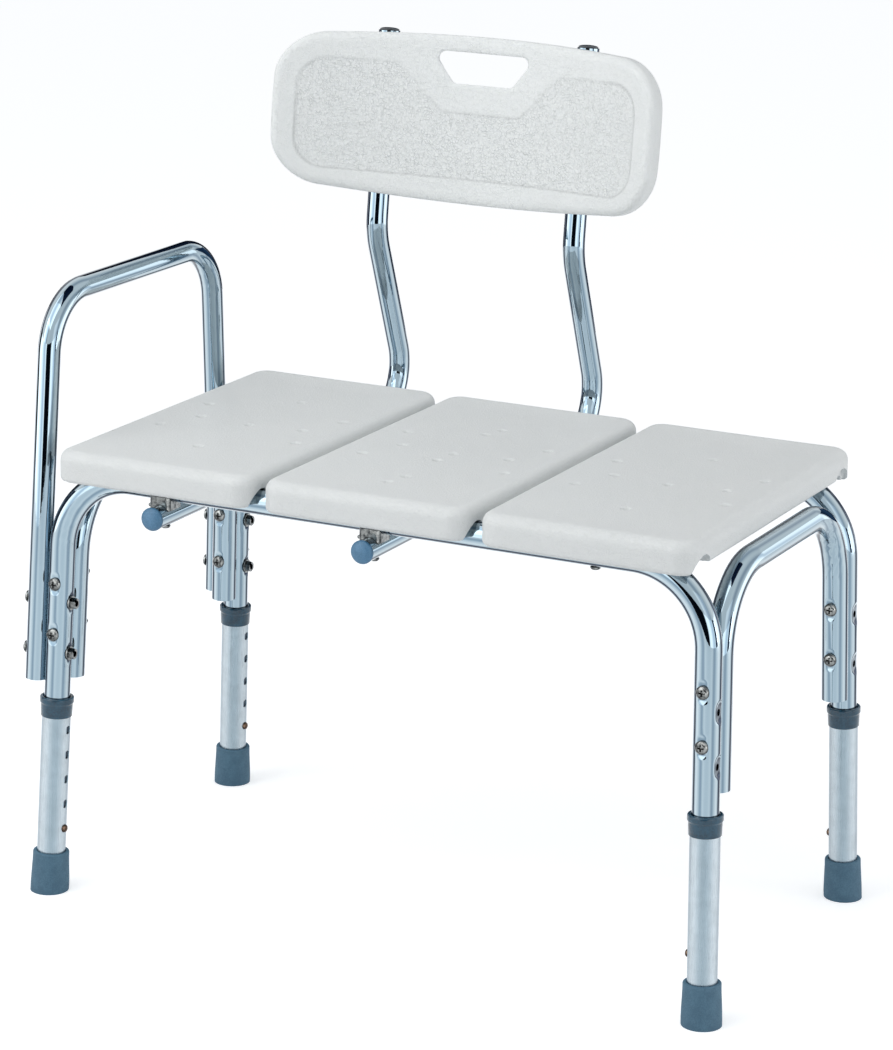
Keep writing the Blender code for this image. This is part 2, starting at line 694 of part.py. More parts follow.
def seat_panel(name):
    """A hollow moulded seat panel that sits over both rails."""
    mesh = panel_blank()
    bottom = PANEL_TOP - PANEL_THICKNESS
    side_bottom = bottom + PANEL_SIDE_RISE
    rail_places = [row * RAIL_Y - PANEL_SET_BACK for row in ROWS.values()]
    wide = 2 * PANEL_WIDTH
    relief_depth = PANEL_DEPTH - 2 * PANEL_LIP
    relief = block((wide, relief_depth, 2 * PANEL_SIDE_RISE), (0, 0, bottom))
    mesh = boolean(mesh, [(relief, Matrix())])
    channel = rod(TUBE_RADIUS + SEAT, wide, TURNED_SIDES, flats_outside=True)
    below = block((wide, 2 * (TUBE_RADIUS + SEAT), TUBE_RADIUS), (0, 0, 0))
    arch_top = RAIL_HEIGHT + TUBE_RADIUS + 5 * SEAT
    arch = rod(NOTCH_RADIUS, 2 * NOTCH_DEPTH, TURNED_SIDES)
    pilot = rod(SCREW_RADIUS + SEAT, PANEL_SCREW_DEPTH + TUBE_RADIUS, HOLE_SIDES, flats_outside=True)
    for y in rail_places:
        mesh = boolean(mesh, [(channel, aim((-PANEL_WIDTH, y, RAIL_HEIGHT), (1, 0, 0)))])
        mesh = boolean(mesh, [(below, Matrix.Translation((0, y, RAIL_HEIGHT - TUBE_RADIUS / 2)))])
        arch_y = y + math.copysign(NOTCH_OFFSET, y)
        for end in SIDES.values():
            start = (end * PANEL_WIDTH / 2 - NOTCH_DEPTH, arch_y, arch_top - NOTCH_RADIUS)
            mesh = boolean(mesh, [(arch, aim(start, (1, 0, 0)))])
        mesh = boolean(mesh, [(pilot, Matrix.Translation((0, y, RAIL_HEIGHT)))])
    room = (
        PANEL_WIDTH - 2 * PANEL_TOP_ROUND,
        2 * (RAIL_Y - TUBE_RADIUS - SEAT - PANEL_SET_BACK - 2 * PANEL_SKIN),
        PANEL_THICKNESS - PANEL_SIDE_RISE - 2 * PANEL_SKIN,
    )
    room_middle = (0, 0, (side_bottom + PANEL_TOP) / 2)
    mesh = boolean(mesh, [(block(room, room_middle), Matrix())])
    vent = rod(VENT_RADIUS, 3 * PANEL_SKIN, SMALL_SIDES)
    mesh = boolean(mesh, [(vent, Matrix.Translation((0, 0, side_bottom - PANEL_SKIN)))])
    bowl = dimple_mesh()
    mesh = boolean(mesh, [(bowl, Matrix.Translation((x, y, PANEL_TOP))) for x, y in dimple_places()])
    place = Matrix.Translation((PANEL_X[name], PANEL_SET_BACK, 0))
    add_part("seat_panel_" + name, mesh, PLASTIC, ROOT, place)


def dimple_mesh():
    """A cutter for one shallow dimple in a surface at its own Z = 0."""
    work = bmesh.new()
    bmesh.ops.create_cone(
        work, cap_ends=True, segments=SMALL_SIDES, radius1=DIMPLE_RADIUS / 3,
        radius2=DIMPLE_RADIUS * 5 / 3, depth=2 * DIMPLE_DEPTH,
    )
    mesh = bpy.data.meshes.new("dimple")
    work.to_mesh(mesh)
    work.free()
    return mesh


def bowed(start, end, bow, steps):
    """Points from start towards end, bowed to the right of the way by the given height."""
    start = Vector(start)
    run = Vector(end) - start
    right = Vector((run.y, -run.x)).normalized()
    points = []
    for i in range(steps):
        t = i / steps
        points.append(tuple(start + run * t + right * bow * 4 * t * (1 - t)))
    return points


def back_outline():
    """The backrest's outline in its own plane, about the middle of its top edge."""
    half = BACK_WIDTH / 2
    low = -BACK_HEIGHT + BACK_BOTTOM_BOW
    high = -BACK_TOP_BOW
    points = []
    ends = [(-half, low), (half, low), (half, high), (-half, high)]
    turns = [(1, 1), (-1, 1), (-1, -1), (1, -1)]
    centres = [
        Vector((x + sx * BACK_CORNER, z + sz * BACK_CORNER))
        for (x, z), (sx, sz) in zip(ends, turns)
    ]
    first = [180, 270, 0, 90]
    steps = 4
    arcs = []
    for centre, angle in zip(centres, first):
        turns = [Matrix.Rotation(math.radians(angle + 90 * i / steps), 2) for i in range(steps + 1)]
        arcs.append([centre + turn @ Vector((BACK_CORNER, 0)) for turn in turns])
    bows = [BACK_BOTTOM_BOW, BACK_SIDE_BOW, BACK_TOP_BOW, BACK_SIDE_BOW]
    for i, arc in enumerate(arcs):
        points += [tuple(p) for p in arc[:-1]]
        points += bowed(arc[-1], arcs[(i + 1) % 4][0], bows[i], 6 if i % 2 == 0 else 2)
    return points


def recess_outline():
    """The sunk field on the backrest's front, which goes round the boss of the hand slot."""
    half = BACK_WIDTH / 2 - RECESS_SIDE
    low = -BACK_HEIGHT + BACK_BOTTOM_BOW + RECESS_FOOT
    high = -BACK_TOP_BOW - RECESS_MARGIN
    boss = BOSS_BOTTOM - BACK_TOP
    corners = [
        (-half, low), (half, low), (half, high), (BOSS_TOP_HALF, high),
        (BOSS_BOTTOM_HALF, boss), (-BOSS_BOTTOM_HALF, boss), (-BOSS_TOP_HALF, high), (-half, high),
    ]
    small = RECESS_CORNER / 3
    radii = [RECESS_CORNER, RECESS_CORNER, RECESS_CORNER, small, small, small, small, RECESS_CORNER]
    return fillet_outline(corners, radii)


def slot_outline():
    """The hand slot's outline, measured down from the backrest's top edge."""
    top = SLOT_TOP - BACK_TOP
    low = SLOT_BOTTOM - BACK_TOP
    corners = [
        (-SLOT_BOTTOM_HALF, low), (SLOT_BOTTOM_HALF, low), (SLOT_TOP_HALF, top), (-SLOT_TOP_HALF, top),
    ]
    return fillet_outline(corners, [SLOT_CORNER] * 4, math.radians(30))


def hand_slot():
    """A cutter for the hand slot, whose sides and foot flare towards the board's back."""
    mesh = outline_solid(slot_outline(), 2 * BACK_THICKNESS)
    middle = (SLOT_TOP + SLOT_BOTTOM) / 2 - BACK_TOP
    for vertex in mesh.vertices:
        depth = (vertex.co.y + BACK_THICKNESS / 2) * BACK_WAIST / BACK_THICKNESS
        vertex.co.x += math.copysign(math.tan(SLOT_SIDE_FLARE) * depth, vertex.co.x)
        if vertex.co.z < middle:
            vertex.co.z -= math.tan(SLOT_FOOT_FLARE) * depth
    return mesh


def curl(mesh):
    """Bend the flat board so that its ends come forward, and dish its front to the middle."""
    work = bmesh.new()
    work.from_mesh(mesh)
    stations = 10
    for i in range(1, stations):
        x = -BACK_WIDTH / 2 + BACK_WIDTH * i / stations
        everything = list(work.verts) + list(work.edges) + list(work.faces)
        plane = {"plane_co": (x, 0, 0), "plane_no": (1, 0, 0)}
        bmesh.ops.bisect_plane(work, geom=everything, dist=MERGE_DISTANCE, **plane)
    back = BACK_THICKNESS / 2
    for vertex in work.verts:
        reach = (2 * vertex.co.x / BACK_WIDTH) ** 2
        share = (BACK_WAIST + (BACK_THICKNESS - BACK_WAIST) * reach) / BACK_THICKNESS
        vertex.co.y = back - (back - vertex.co.y) * share - BACK_CURL * reach
    work.to_mesh(mesh)
    work.free()
    return mesh


def backrest():
    """The curved backrest with its hand slot, sunk front field and grooves for the posts."""
    mesh = outline_solid(back_outline(), BACK_THICKNESS, BACK_ROUND)
    field = outline_solid(recess_outline(), 2 * RECESS_DEPTH)
    mesh = boolean(mesh, [(field, Matrix.Translation((0, -BACK_THICKNESS / 2, 0)))])
    mesh = boolean(mesh, [(hand_slot(), Matrix())])
    mesh = curl(mesh)
    top_y = post_axis(BACK_TOP) - BACK_FORWARD
    place = Matrix.Translation((BACK_X, top_y, BACK_TOP)) @ Matrix.Rotation(-RECLINE, 4, "X")
    mesh.transform(place)
    reach = BACK_TOP - BACK_BOTTOM
    groove = rod(POST_RADIUS + SEAT, 2 * reach, TURNED_SIDES, flats_outside=True)
    grooves = []
    pilots = []
    depth = POST_RADIUS + BACK_SCREW_GRIP + 4 * SEAT
    screw = rod(SCREW_RADIUS + SEAT, depth, HOLE_SIDES, flats_outside=True)
    for x in POST_X.values():
        start = Vector((x, post_axis(BACK_BOTTOM - reach / 2), BACK_BOTTOM - reach / 2))
        grooves.append((groove, aim(start, board_up())))
        centre = Vector((x, post_axis(BACK_SCREW_HEIGHT), BACK_SCREW_HEIGHT))
        pilots.append((screw, aim(centre, -board_normal())))
    mesh = boolean(mesh, grooves)
    mesh = boolean(mesh, pilots)
    add_part("backrest_panel", mesh, PLASTIC, ROOT)


def pan_bolt(length, radius, head_radius, head_height):
    """A pan-headed bolt along Z: its head ends at the origin and its shank runs up."""
    profile = [
        (0, length),
        (radius, length),
        (radius, 0),
        (head_radius, 0),
        (head_radius, -head_height * 0.45),
        (head_radius * 0.72, -head_height * 0.9),
        (0, -head_height),
    ]
    return turned(profile, SMALL_SIDES)


def nut_and_washer():
    """A hexagonal nut on a washer, along Z from the origin."""
    washer = rod(WASHER_RADIUS, WASHER_THICKNESS, SMALL_SIDES)
    hexagon = rod(NUT_RADIUS, NUT_HEIGHT + WASHER_THICKNESS, 6)
    return boolean(washer, [(hexagon, Matrix())], "UNION")


def nutted_bolt(span):
    """A bolt with its nut tightened on, for a joint that is the span thick between its seats."""
    length = span + WASHER_THICKNESS + NUT_HEIGHT + BOLT_TAIL
    bolt = pan_bolt(length, BOLT_RADIUS, BOLT_HEAD_RADIUS, BOLT_HEAD_HEIGHT)
    return boolean(bolt, [(nut_and_washer(), Matrix.Translation((0, 0, span)))], "UNION")


def add_copies(mesh, finish, places):
    """Add one object per name, all with the same mesh, each at its own place."""
    for name, place in places.items():
        add_part(name, mesh.copy(), finish, ROOT, place)


def cross_bolts():
    """The eight bolts that join the cross frames to the legs, heads to the front, nuts behind."""
    span = 4 * TUBE_RADIUS + SEAT - 2 * FLAT_DEPTH + 2 * SEAT
    places = {}
    for row, side in CORNERS:
        front_tube = leg_point if row == "front" else cross_point
        for level, height in zip(LEVELS, cross_bolt_heights(row)):
            head = front_tube(row, side, height) - Vector((0, TUBE_RADIUS - FLAT_DEPTH + SEAT, 0))
            places[f"cross_bolt_{row}_{side}_{level}"] = aim(head, (0, 1, 0))
    add_copies(nutted_bolt(span), STEEL, places)


def arm_bolts():
    """The four bolts that hold the arm rail to the left legs, heads outside, nuts inside."""
    arm_seat = ARM_RADIUS - FLAT_DEPTH
    leg_seat = TUBE_RADIUS - FLAT_DEPTH
    span = arm_seat + ARM_RADIUS + TUBE_RADIUS + leg_seat + 3 * SEAT
    places = {}
    for row in ROWS:
        for level, height in zip(LEVELS, arm_bolt_heights()):
            head = arm_point(row, height) - Vector((arm_seat + SEAT, 0, 0))
            places[f"arm_bolt_{row}_{level}"] = aim(head, (1, 0, 0))
    add_copies(nutted_bolt(span), STEEL, places)


def seat_screws():
    """The screws up through the rails into the panels: four of them go through a post first."""
    tip = RAIL_HEIGHT + TUBE_RADIUS + PANEL_SCREW_DEPTH - 4 * SEAT
    rail_head = RAIL_HEIGHT - TUBE_RADIUS - SEAT
    post_head = POST_HEIGHT - POST_RADIUS - SEAT
    short = pan_bolt(tip - rail_head, SCREW_RADIUS, SCREW_HEAD_RADIUS, SCREW_HEAD_HEIGHT)
    long = pan_bolt(tip - post_head, SCREW_RADIUS, SCREW_HEAD_RADIUS, SCREW_HEAD_HEIGHT)
    panel_places = {}
    post_places = {}
    for row in ROWS:
        across = rail_point(row, 0).y
        panel_places["seat_screw_" + row] = Matrix.Translation((PANEL_X["right"], across, rail_head))
        for side, x in POST_X.items():
            post_places[f"post_screw_{row}_{side}"] = Matrix.Translation((x, across, post_head))
    add_copies(short, STEEL, panel_places)
    add_copies(long, STEEL, post_places)


def backrest_screws():
    """The screws that hold the backrest to its posts, driven from behind."""
    length = 2 * POST_RADIUS + SEAT + BACK_SCREW_GRIP
    screw = pan_bolt(length, SCREW_RADIUS, SCREW_HEAD_RADIUS, SCREW_HEAD_HEIGHT)
    places = {}
    for side, x in POST_X.items():
        centre = Vector((x, post_axis(BACK_SCREW_HEIGHT), BACK_SCREW_HEIGHT))
        head = centre + board_normal() * (POST_RADIUS + SEAT)
        places["backrest_screw_" + side] = aim(head, -board_normal())
    add_copies(screw, STEEL, places)


def leg_empty(row, side):
    """The empty that carries a leg's sliding pieces, on the leg's centre line."""
    empty = bpy.data.objects.new(f"leg_axis_{row}_{side}", None)
    empty.parent = ROOT
    empty.matrix_local = leg_frame(row, side)
    BENCH.objects.link(empty)
    return empty


def leg_extension(row, side, empty):
    """The sliding outer tube of a leg, with its row of height holes on the inner side."""
    bore = (TUBE_RADIUS + RUN) / math.cos(math.pi / TURNED_SIDES)
    profile = [
        (bore, EXTENSION_TOP),
        (EXTENSION_RADIUS, EXTENSION_TOP),
        (EXTENSION_RADIUS, EXTENSION_FLOOR),
        (bore, EXTENSION_FLOOR),
    ]
    mesh = turned(profile)
    holes = []
    for i in range(HOLE_COUNT):
        centre = Vector((0, 0, BUTTON_HEIGHT + i * HOLE_PITCH))
        holes.append(side_cut(centre, (1, 0, 0), BUTTON_RADIUS + HOLE, 1.5 * EXTENSION_RADIUS))
    mesh = boolean(mesh, holes)
    add_part(f"leg_extension_{row}_{side}", mesh, ALUMINIUM, empty)


def leg_collar(row, side, empty):
    """The plastic collar on an extension's top end, which guides the leg tube."""
    wide = (EXTENSION_RADIUS + SEAT) / math.cos(math.pi / TURNED_SIDES)
    narrow = (TUBE_RADIUS + RUN) / math.cos(math.pi / TURNED_SIDES)
    ledge = EXTENSION_TOP + SEAT
    profile = [
        (narrow + COLLAR_EDGE, COLLAR_TOP),
        (COLLAR_TOP_RADIUS - COLLAR_EDGE, COLLAR_TOP),
        (COLLAR_TOP_RADIUS, COLLAR_TOP - COLLAR_EDGE),
        (COLLAR_TOP_RADIUS, COLLAR_TOP - COLLAR_HEIGHT * 0.35),
        (COLLAR_BOTTOM_RADIUS, COLLAR_BOTTOM),
        (wide, COLLAR_BOTTOM),
        (wide, ledge),
        (narrow, ledge),
        (narrow, COLLAR_TOP - COLLAR_EDGE),
    ]
    add_part(f"leg_collar_{row}_{side}", turned(profile), COLLAR_PLASTIC, empty)


def foot_tip(row, side, empty):
    """The rubber tip on an extension's bottom end, cut level where it meets the floor."""
    bore = (EXTENSION_RADIUS + SEAT) / math.cos(math.pi / TURNED_SIDES)
    depth = EXTENSION_FLOOR - SEAT
    profile = [
        (0, depth),
        (bore, depth),
        (bore, TIP_HEIGHT),
        (TIP_SHOULDER_RADIUS - TIP_RIM, TIP_HEIGHT),
        (TIP_SHOULDER_RADIUS, TIP_HEIGHT - TIP_RIM),
        (TIP_BASE_RADIUS, TIP_HEIGHT * 0.3),
        (TIP_BASE_RADIUS, TIP_RIM),
        (TIP_BASE_RADIUS - TIP_RIM / 2, -TIP_RIM),
        (0, -TIP_RIM),
    ]
    mesh = turned(profile)
    level = empty.matrix_local.inverted()
    below = block((4 * TIP_BASE_RADIUS, 4 * TIP_BASE_RADIUS, TIP_HEIGHT), (0, 0, -TIP_HEIGHT / 2))
    centre = Matrix.Translation(leg_point(row, side, 0))
    mesh = boolean(mesh, [(below, level @ centre)])
    add_part(f"foot_tip_{row}_{side}", mesh, RUBBER, empty)


def snap_button(row, side, empty):
    """The brass button that locks an extension, and the leaf spring that pushes it out."""
    out = EXTENSION_RADIUS + BUTTON_PROUD
    profile = [
        (0, BUTTON_BACK),
        (BUTTON_RADIUS, BUTTON_BACK),
        (BUTTON_RADIUS, out - BUTTON_RADIUS * 0.45),
        (BUTTON_RADIUS * 0.75, out - BUTTON_RADIUS * 0.12),
        (0, out),
    ]
    mesh = turned(profile[::-1], TUBE_SIDES)
    place = aim((0, 0, BUTTON_HEIGHT), (1, 0, 0))
    level = Matrix.Translation((0, 0, BUTTON_HEIGHT))
    add_part(f"snap_button_{row}_{side}", mesh, BRASS, empty, place)
    add_part(f"snap_spring_{row}_{side}", leaf_spring(), STEEL, empty, level)


def leaf_spring():
    """A folded strip inside the leg: one leaf behind the button, the other on the far wall."""
    half = SPRING_WIDTH / 2
    near = BUTTON_BACK - SEAT - SPRING_THICKNESS / 2
    inner = (TUBE_RADIUS - TUBE_WALL) * math.cos(math.pi / TUBE_SIDES) - SEAT
    far = SPRING_THICKNESS / 2 - math.sqrt(inner ** 2 - half ** 2)
    fold = -SPRING_LENGTH * 0.45
    tail = SPRING_LENGTH * 0.55
    line = [
        (near, BUTTON_RADIUS),
        (near, -BUTTON_RADIUS),
        (near * 0.5, fold),
        (far * 0.6, fold),
        (far, fold * 0.6),
        (far, tail),
    ]
    mesh = bpy.data.meshes.new("leaf")
    edges = [(i, i + 1) for i in range(len(line) - 1)]
    mesh.from_pydata([(x, -half, z) for x, z in line], edges, [])
    body = add_guide("leaf", mesh)
    widen = body.modifiers.new("width", "SCREW")
    widen.angle = 0
    widen.axis = "Y"
    widen.screw_offset = SPRING_WIDTH
    widen.steps = 1
    widen.render_steps = 1
    widen.use_merge_vertices = False
    thicken = body.modifiers.new("leaf", "SOLIDIFY")
    thicken.thickness = SPRING_THICKNESS
    thicken.offset = 0
    thicken.use_even_offset = True
    return settled_mesh(body)


def centre_bench():
    """Move the bench so that the origin lies on the floor under the middle of its outline."""
    bpy.context.view_layer.update()
    corners = []
    for part in BENCH.objects:
        if part.type == "MESH":
            corners += [part.matrix_world @ v.co for v in part.data.vertices]
    middle = [(min(c[i] for c in corners) + max(c[i] for c in corners)) / 2 for i in (0, 1)]
    floor = min(c.z for c in corners)
    ROOT.location = (-middle[0], -middle[1], -floor)
    bpy.context.view_layer.update()


def build():
    """Make every piece of the bench."""
    for row in ROWS:
        long_frame(row)
    for side in SIDES:
        cross_frame(side)
    arm_rail()
    for side in POST_X:
        back_post(side)
        post_caps(side)
        for row in ROWS:
            post_saddle(row, side)
    for name in PANEL_X:
        seat_panel(name)
    backrest()
    cross_bolts()
    arm_bolts()
    seat_screws()
    backrest_screws()
    for row, side in CORNERS:
        empty = leg_empty(row, side)
        leg_extension(row, side, empty)
        leg_collar(row, side, empty)
        foot_tip(row, side, empty)
        snap_button(row, side, empty)
    centre_bench()


clear_scene()
BENCH = new_collection("bath_bench")
CUTTERS = new_collection("cutters", hidden=True)
ROOT = bpy.data.objects.new("bench_origin", None)
BENCH.objects.link(ROOT)
build()
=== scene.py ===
"""Studio scene of a transfer bath bench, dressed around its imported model.

Each sub-assembly is a class: its dataclass fields are the sizes of the real piece in metres, and its
methods build the meshes and give them their finish. Everything is laid out about the middle of the
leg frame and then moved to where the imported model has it.
"""

import logging
import math
from dataclasses import dataclass, field
from enum import Enum
from typing import Callable, Iterable, Optional, Sequence

import bmesh
import bpy
import numpy as np
from bpy.types import Mesh, Node, NodeSocket, Object
from mathutils import Matrix, Quaternion, Vector


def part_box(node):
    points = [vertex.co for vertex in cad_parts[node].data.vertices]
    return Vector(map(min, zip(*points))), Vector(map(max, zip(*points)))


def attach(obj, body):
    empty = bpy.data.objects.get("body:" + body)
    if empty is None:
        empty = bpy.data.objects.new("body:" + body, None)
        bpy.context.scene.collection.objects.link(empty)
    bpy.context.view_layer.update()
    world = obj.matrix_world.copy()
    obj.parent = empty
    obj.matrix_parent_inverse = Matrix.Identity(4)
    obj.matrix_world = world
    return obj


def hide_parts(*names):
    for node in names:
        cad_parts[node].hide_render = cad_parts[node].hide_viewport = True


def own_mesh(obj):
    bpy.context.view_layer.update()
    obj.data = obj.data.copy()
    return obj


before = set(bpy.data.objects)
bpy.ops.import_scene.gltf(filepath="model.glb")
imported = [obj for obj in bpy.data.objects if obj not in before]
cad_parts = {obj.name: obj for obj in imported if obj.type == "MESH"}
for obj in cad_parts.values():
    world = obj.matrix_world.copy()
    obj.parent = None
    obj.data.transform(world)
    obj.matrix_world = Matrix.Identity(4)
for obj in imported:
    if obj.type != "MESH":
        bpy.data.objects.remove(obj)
log = logging.getLogger("bath_bench")

Array = np.ndarray
Pair = tuple[float, float]
Triple = tuple[float, float, float]
Faces = list[tuple[int, ...]]
Profile = Sequence[Pair]
ReflectionRamp = tuple[tuple[float, str], ...]
Skin = Callable[[Array], Array]

TINY = 1e-18
POINTS_AT_ONCE = 2000


class Side(Enum):
    """An end of the bench, seen from the front."""

    LEFT = "left"
    RIGHT = "right"

    @property
    def sign(self) -> int:
        """The direction of this end along X."""
        return -1 if self is Side.LEFT else 1


class Row(Enum):
    """The front or the rear row of legs."""

    FRONT = "front"
    REAR = "rear"

    @property
    def sign(self) -> int:
        """The direction of this row along Y."""
        return -1 if self is Row.FRONT else 1


class Slot(Enum):
    """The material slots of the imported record."""

    CHROME = "chromed_tube"
    ALUMINIUM = "satin_aluminium"
    SEAT = "seat_plastic"
    CAP = "cap_plastic"
    DARK = "dark_plastic"
    COLLAR = "collar_plastic"
    RUBBER = "tip_rubber"
    BRASS = "button_brass"
    STEEL = "plated_steel"


# Nodes that several finishes use, and the colour sockets of the mix node

NOISE = "ShaderNodeTexNoise"
RANGE = "ShaderNodeMapRange"
MATH = "ShaderNodeMath"
VECTOR = "ShaderNodeVectorMath"
ATTRIBUTE = "ShaderNodeAttribute"
FACING = "ShaderNodeLayerWeight"
RAMP = "ShaderNodeValToRGB"
BUMP = "ShaderNodeBump"
MIX = "ShaderNodeMix"
MIX_FIRST, MIX_SECOND, MIX_RESULT = 6, 7, 2


def linear(code: str) -> tuple[float, float, float, float]:
    """Turn an sRGB hex colour into the linear values that a shader takes.

    Args:
        code: The colour as RRGGBB.

    Returns:
        The linear red, green and blue, and an alpha of one.
    """
    shares = [int(code[i:i + 2], 16) / 255 for i in (0, 2, 4)]
    return (*[s / 12.92 if s <= 0.04045 else ((s + 0.055) / 1.055) ** 2.4 for s in shares], 1.0)


class Graph:
    """A node tree that is being filled."""

    def __init__(self, tree: bpy.types.NodeTree) -> None:
        """Empty the tree and keep it."""
        self.tree = tree
        tree.nodes.clear()

    def add(self, kind: str, links: dict | Sequence = (), **settings: object) -> Node:
        """Add a node.

        Args:
            kind: The node's type name.
            links: What feeds the inputs, in their order or by their name or number: a socket, a node
                for its first output, or a plain value.
            settings: Attributes of the node itself. Stops are the hex colours of a ramp, each after
                the value that it stands at.

        Returns:
            The new node.
        """
        node = self.tree.nodes.new(kind)
        for place, colour in settings.pop("stops", ()):
            elements = node.color_ramp.elements
            element = elements[0] if place == 0.0 else elements[-1] if place == 1.0 else elements.new(place)
            element.color = linear(colour)
        for name, value in settings.items():
            setattr(node, name, value)
        for key, value in links.items() if isinstance(links, dict) else enumerate(links):
            if isinstance(value, Node):
                value = value.outputs[0]
            if isinstance(value, NodeSocket):
                self.tree.links.new(value, node.inputs[key])
            else:
                node.inputs[key].default_value = value
        return node


@dataclass(frozen=True)
class Finish:
    """A surface as it is made: its colour, gloss and small relief."""

    name: str
    slot: Slot
    colour: str
    roughness: float
    metallic: float = 0.0
    coat: float = 0.0

    def material(self) -> bpy.types.Material:
        """Build this finish as a node material."""
        material = bpy.data.materials.new(self.name)
        material.use_nodes = True
        material.diffuse_color = linear(self.colour)
        graph = Graph(material.node_tree)
        place = graph.add("ShaderNodeTexCoord").outputs["Object"]
        values = {
            "Base Color": linear(self.colour), "Roughness": self.roughness, "Metallic": self.metallic,
            "Coat Weight": self.coat, "Coat Roughness": self.roughness / 2,
        }
        values.update(self.detail(graph, place))
        shader = graph.add("ShaderNodeBsdfPrincipled", values)
        graph.add("ShaderNodeOutputMaterial", {"Surface": shader})
        return material

    def detail(self, graph: Graph, place: NodeSocket) -> dict:
        """Build this finish's own pattern.

        Args:
            graph: The material's nodes.
            place: Object coordinates, in metres.

        Returns:
            Shader input names and what feeds them.
        """
        return {}


@dataclass(frozen=True)
class ChromePlate(Finish):
    """Bright chrome on drawn and bent steel tube: a cool mirror, with faint wiping marks.

    A polished tube squeezes a room into bands along itself, with a dark line beside each edge.
    These painted reflections are drawn by how far the surface turns away, so that they hold in any light.
    """

    # Painted reflection: base colour stops, with dark bands for the room's shade, by how far the surface
    # turns away.
    reflection_ramp: ReflectionRamp = (
        (0.0, "99ADB9"), (0.03, "A5B8C2"), (0.075, "74899A"), (0.11, "7D92A1"), (0.17, "A0B3BE"),
        (0.30, "BFCDD4"), (0.40, "A6B6BF"), (0.46, "1F2E44"), (0.60, "18253A"), (0.72, "B4C1CA"),
        (1.0, "DCE5EC"),
    )
    mark_size: float = 0.012
    mark_gain: float = 0.04
    ripple_size: float = 0.009
    ripple_depth: float = 0.00002
    least_across: float = 0.2

    def detail(self, graph: Graph, place: NodeSocket) -> dict:
        """Duller patches, the slow ripple that polishing leaves in a tube, and painted reflection bands."""
        marks = graph.add(NOISE, {"Vector": place, "Scale": 1 / self.mark_size, "Detail": 5.0})
        dull = graph.add(RANGE, (marks, 0.45, 0.75, self.roughness, self.roughness + self.mark_gain))
        ripple = graph.add(NOISE, {"Vector": place, "Scale": 1 / self.ripple_size, "Detail": 1.0})
        bump = graph.add(BUMP, {"Height": ripple, "Distance": self.ripple_depth})
        # Painted reflection: the base colour takes the room's light and dark bands by how far the surface
        # turns from the eye.
        tone = graph.add(RAMP, {"Fac": self.turned_on_tube(graph)}, stops=self.reflection_ramp)
        return {"Base Color": tone, "Roughness": dull, "Normal": bump}

    def turned_on_tube(self, graph: Graph) -> Node:
        """How far round the tube the surface turns away: 0 on the line nearest the eye, 1 at its edges.

        The along attribute is the tube's own direction, so a tube that runs towards the eye has its
        painted reflection bands in the same places as one that is seen from the side.

        Args:
            graph: The material's nodes.

        Returns:
            The node that gives it.
        """
        along = graph.add(ATTRIBUTE, attribute_name="along").outputs["Vector"]
        end_on = graph.add(FACING, {"Blend": 0.5, "Normal": along}).outputs["Facing"]
        lengthwise = graph.add(MATH, (1.0, end_on), operation="SUBTRACT")
        square = graph.add(MATH, (lengthwise, lengthwise), operation="MULTIPLY")
        rest = graph.add(MATH, (1.0, square), operation="SUBTRACT")
        across = graph.add(MATH, (rest,), operation="SQRT")
        turned = graph.add(FACING, {"Blend": 0.5}).outputs["Facing"]
        facing = graph.add(MATH, (1.0, turned), operation="SUBTRACT")
        least = graph.add(MATH, (across, self.least_across), operation="MAXIMUM")
        towards = graph.add(MATH, (facing, least), operation="DIVIDE")
        return graph.add(MATH, (1.0, towards), operation="SUBTRACT")


@dataclass(frozen=True)
class SatinAluminium(Finish):
    """Drawn and clear anodised aluminium tube: a painted soft grey sheen with fine lines along its length."""

    # Painted sheen: base colour stops by how far the surface turns away.
    reflection_ramp: ReflectionRamp = (
        (0.0, "92A4AF"), (0.06, "98A9B3"), (0.22, "B8C3CA"), (0.42, "BCC6CC"), (0.62, "A4B0B9"),
        (1.0, "98A6B2"),
    )
    cloud_size: float = 0.010
    cloud_gain: float = 0.10
    line_width: float = 0.0006
    line_length: float = 0.060
    line_depth: float = 0.00003
    line_share: float = 0.55

    def detail(self, graph: Graph, place: NodeSocket) -> dict:
        """Drawing lines, coarser than the real ones so that they show, cloudy anodising, and a painted sheen
        by how far the surface turns away.
        """
        stretch = (1 / self.line_width, 1 / self.line_width, 1 / self.line_length)
        drawn = graph.add("ShaderNodeMapping", {"Vector": place, "Scale": stretch})
        lines = graph.add(NOISE, {"Vector": drawn, "Scale": 1.0, "Detail": 2.0})
        clouds = graph.add(NOISE, {"Vector": place, "Scale": 1 / self.cloud_size, "Detail": 4.0})
        faint = graph.add(MATH, (clouds, 1 - self.line_share), operation="MULTIPLY")
        both = graph.add(MATH, (lines, self.line_share, faint), operation="MULTIPLY_ADD")
        gain = graph.add(RANGE, (both, 0.35, 0.65, 1 - self.cloud_gain, 1 + self.cloud_gain))
        # Painted sheen: the base colour is lighter and darker in bands across the tube, by how far it turns
        # from the eye.
        facing = graph.add(FACING, {"Blend": 0.5}).outputs["Facing"]
        sheen = graph.add(RAMP, {"Fac": facing}, stops=self.reflection_ramp)
        tone = graph.add(VECTOR, {0: sheen, 3: gain}, operation="SCALE")
        rough = graph.add(RANGE, (lines, 0.3, 0.7, self.roughness - 0.06, self.roughness + 0.08))
        bump = graph.add(BUMP, {"Height": lines, "Distance": self.line_depth})
        return {"Base Color": tone, "Roughness": rough, "Normal": bump}


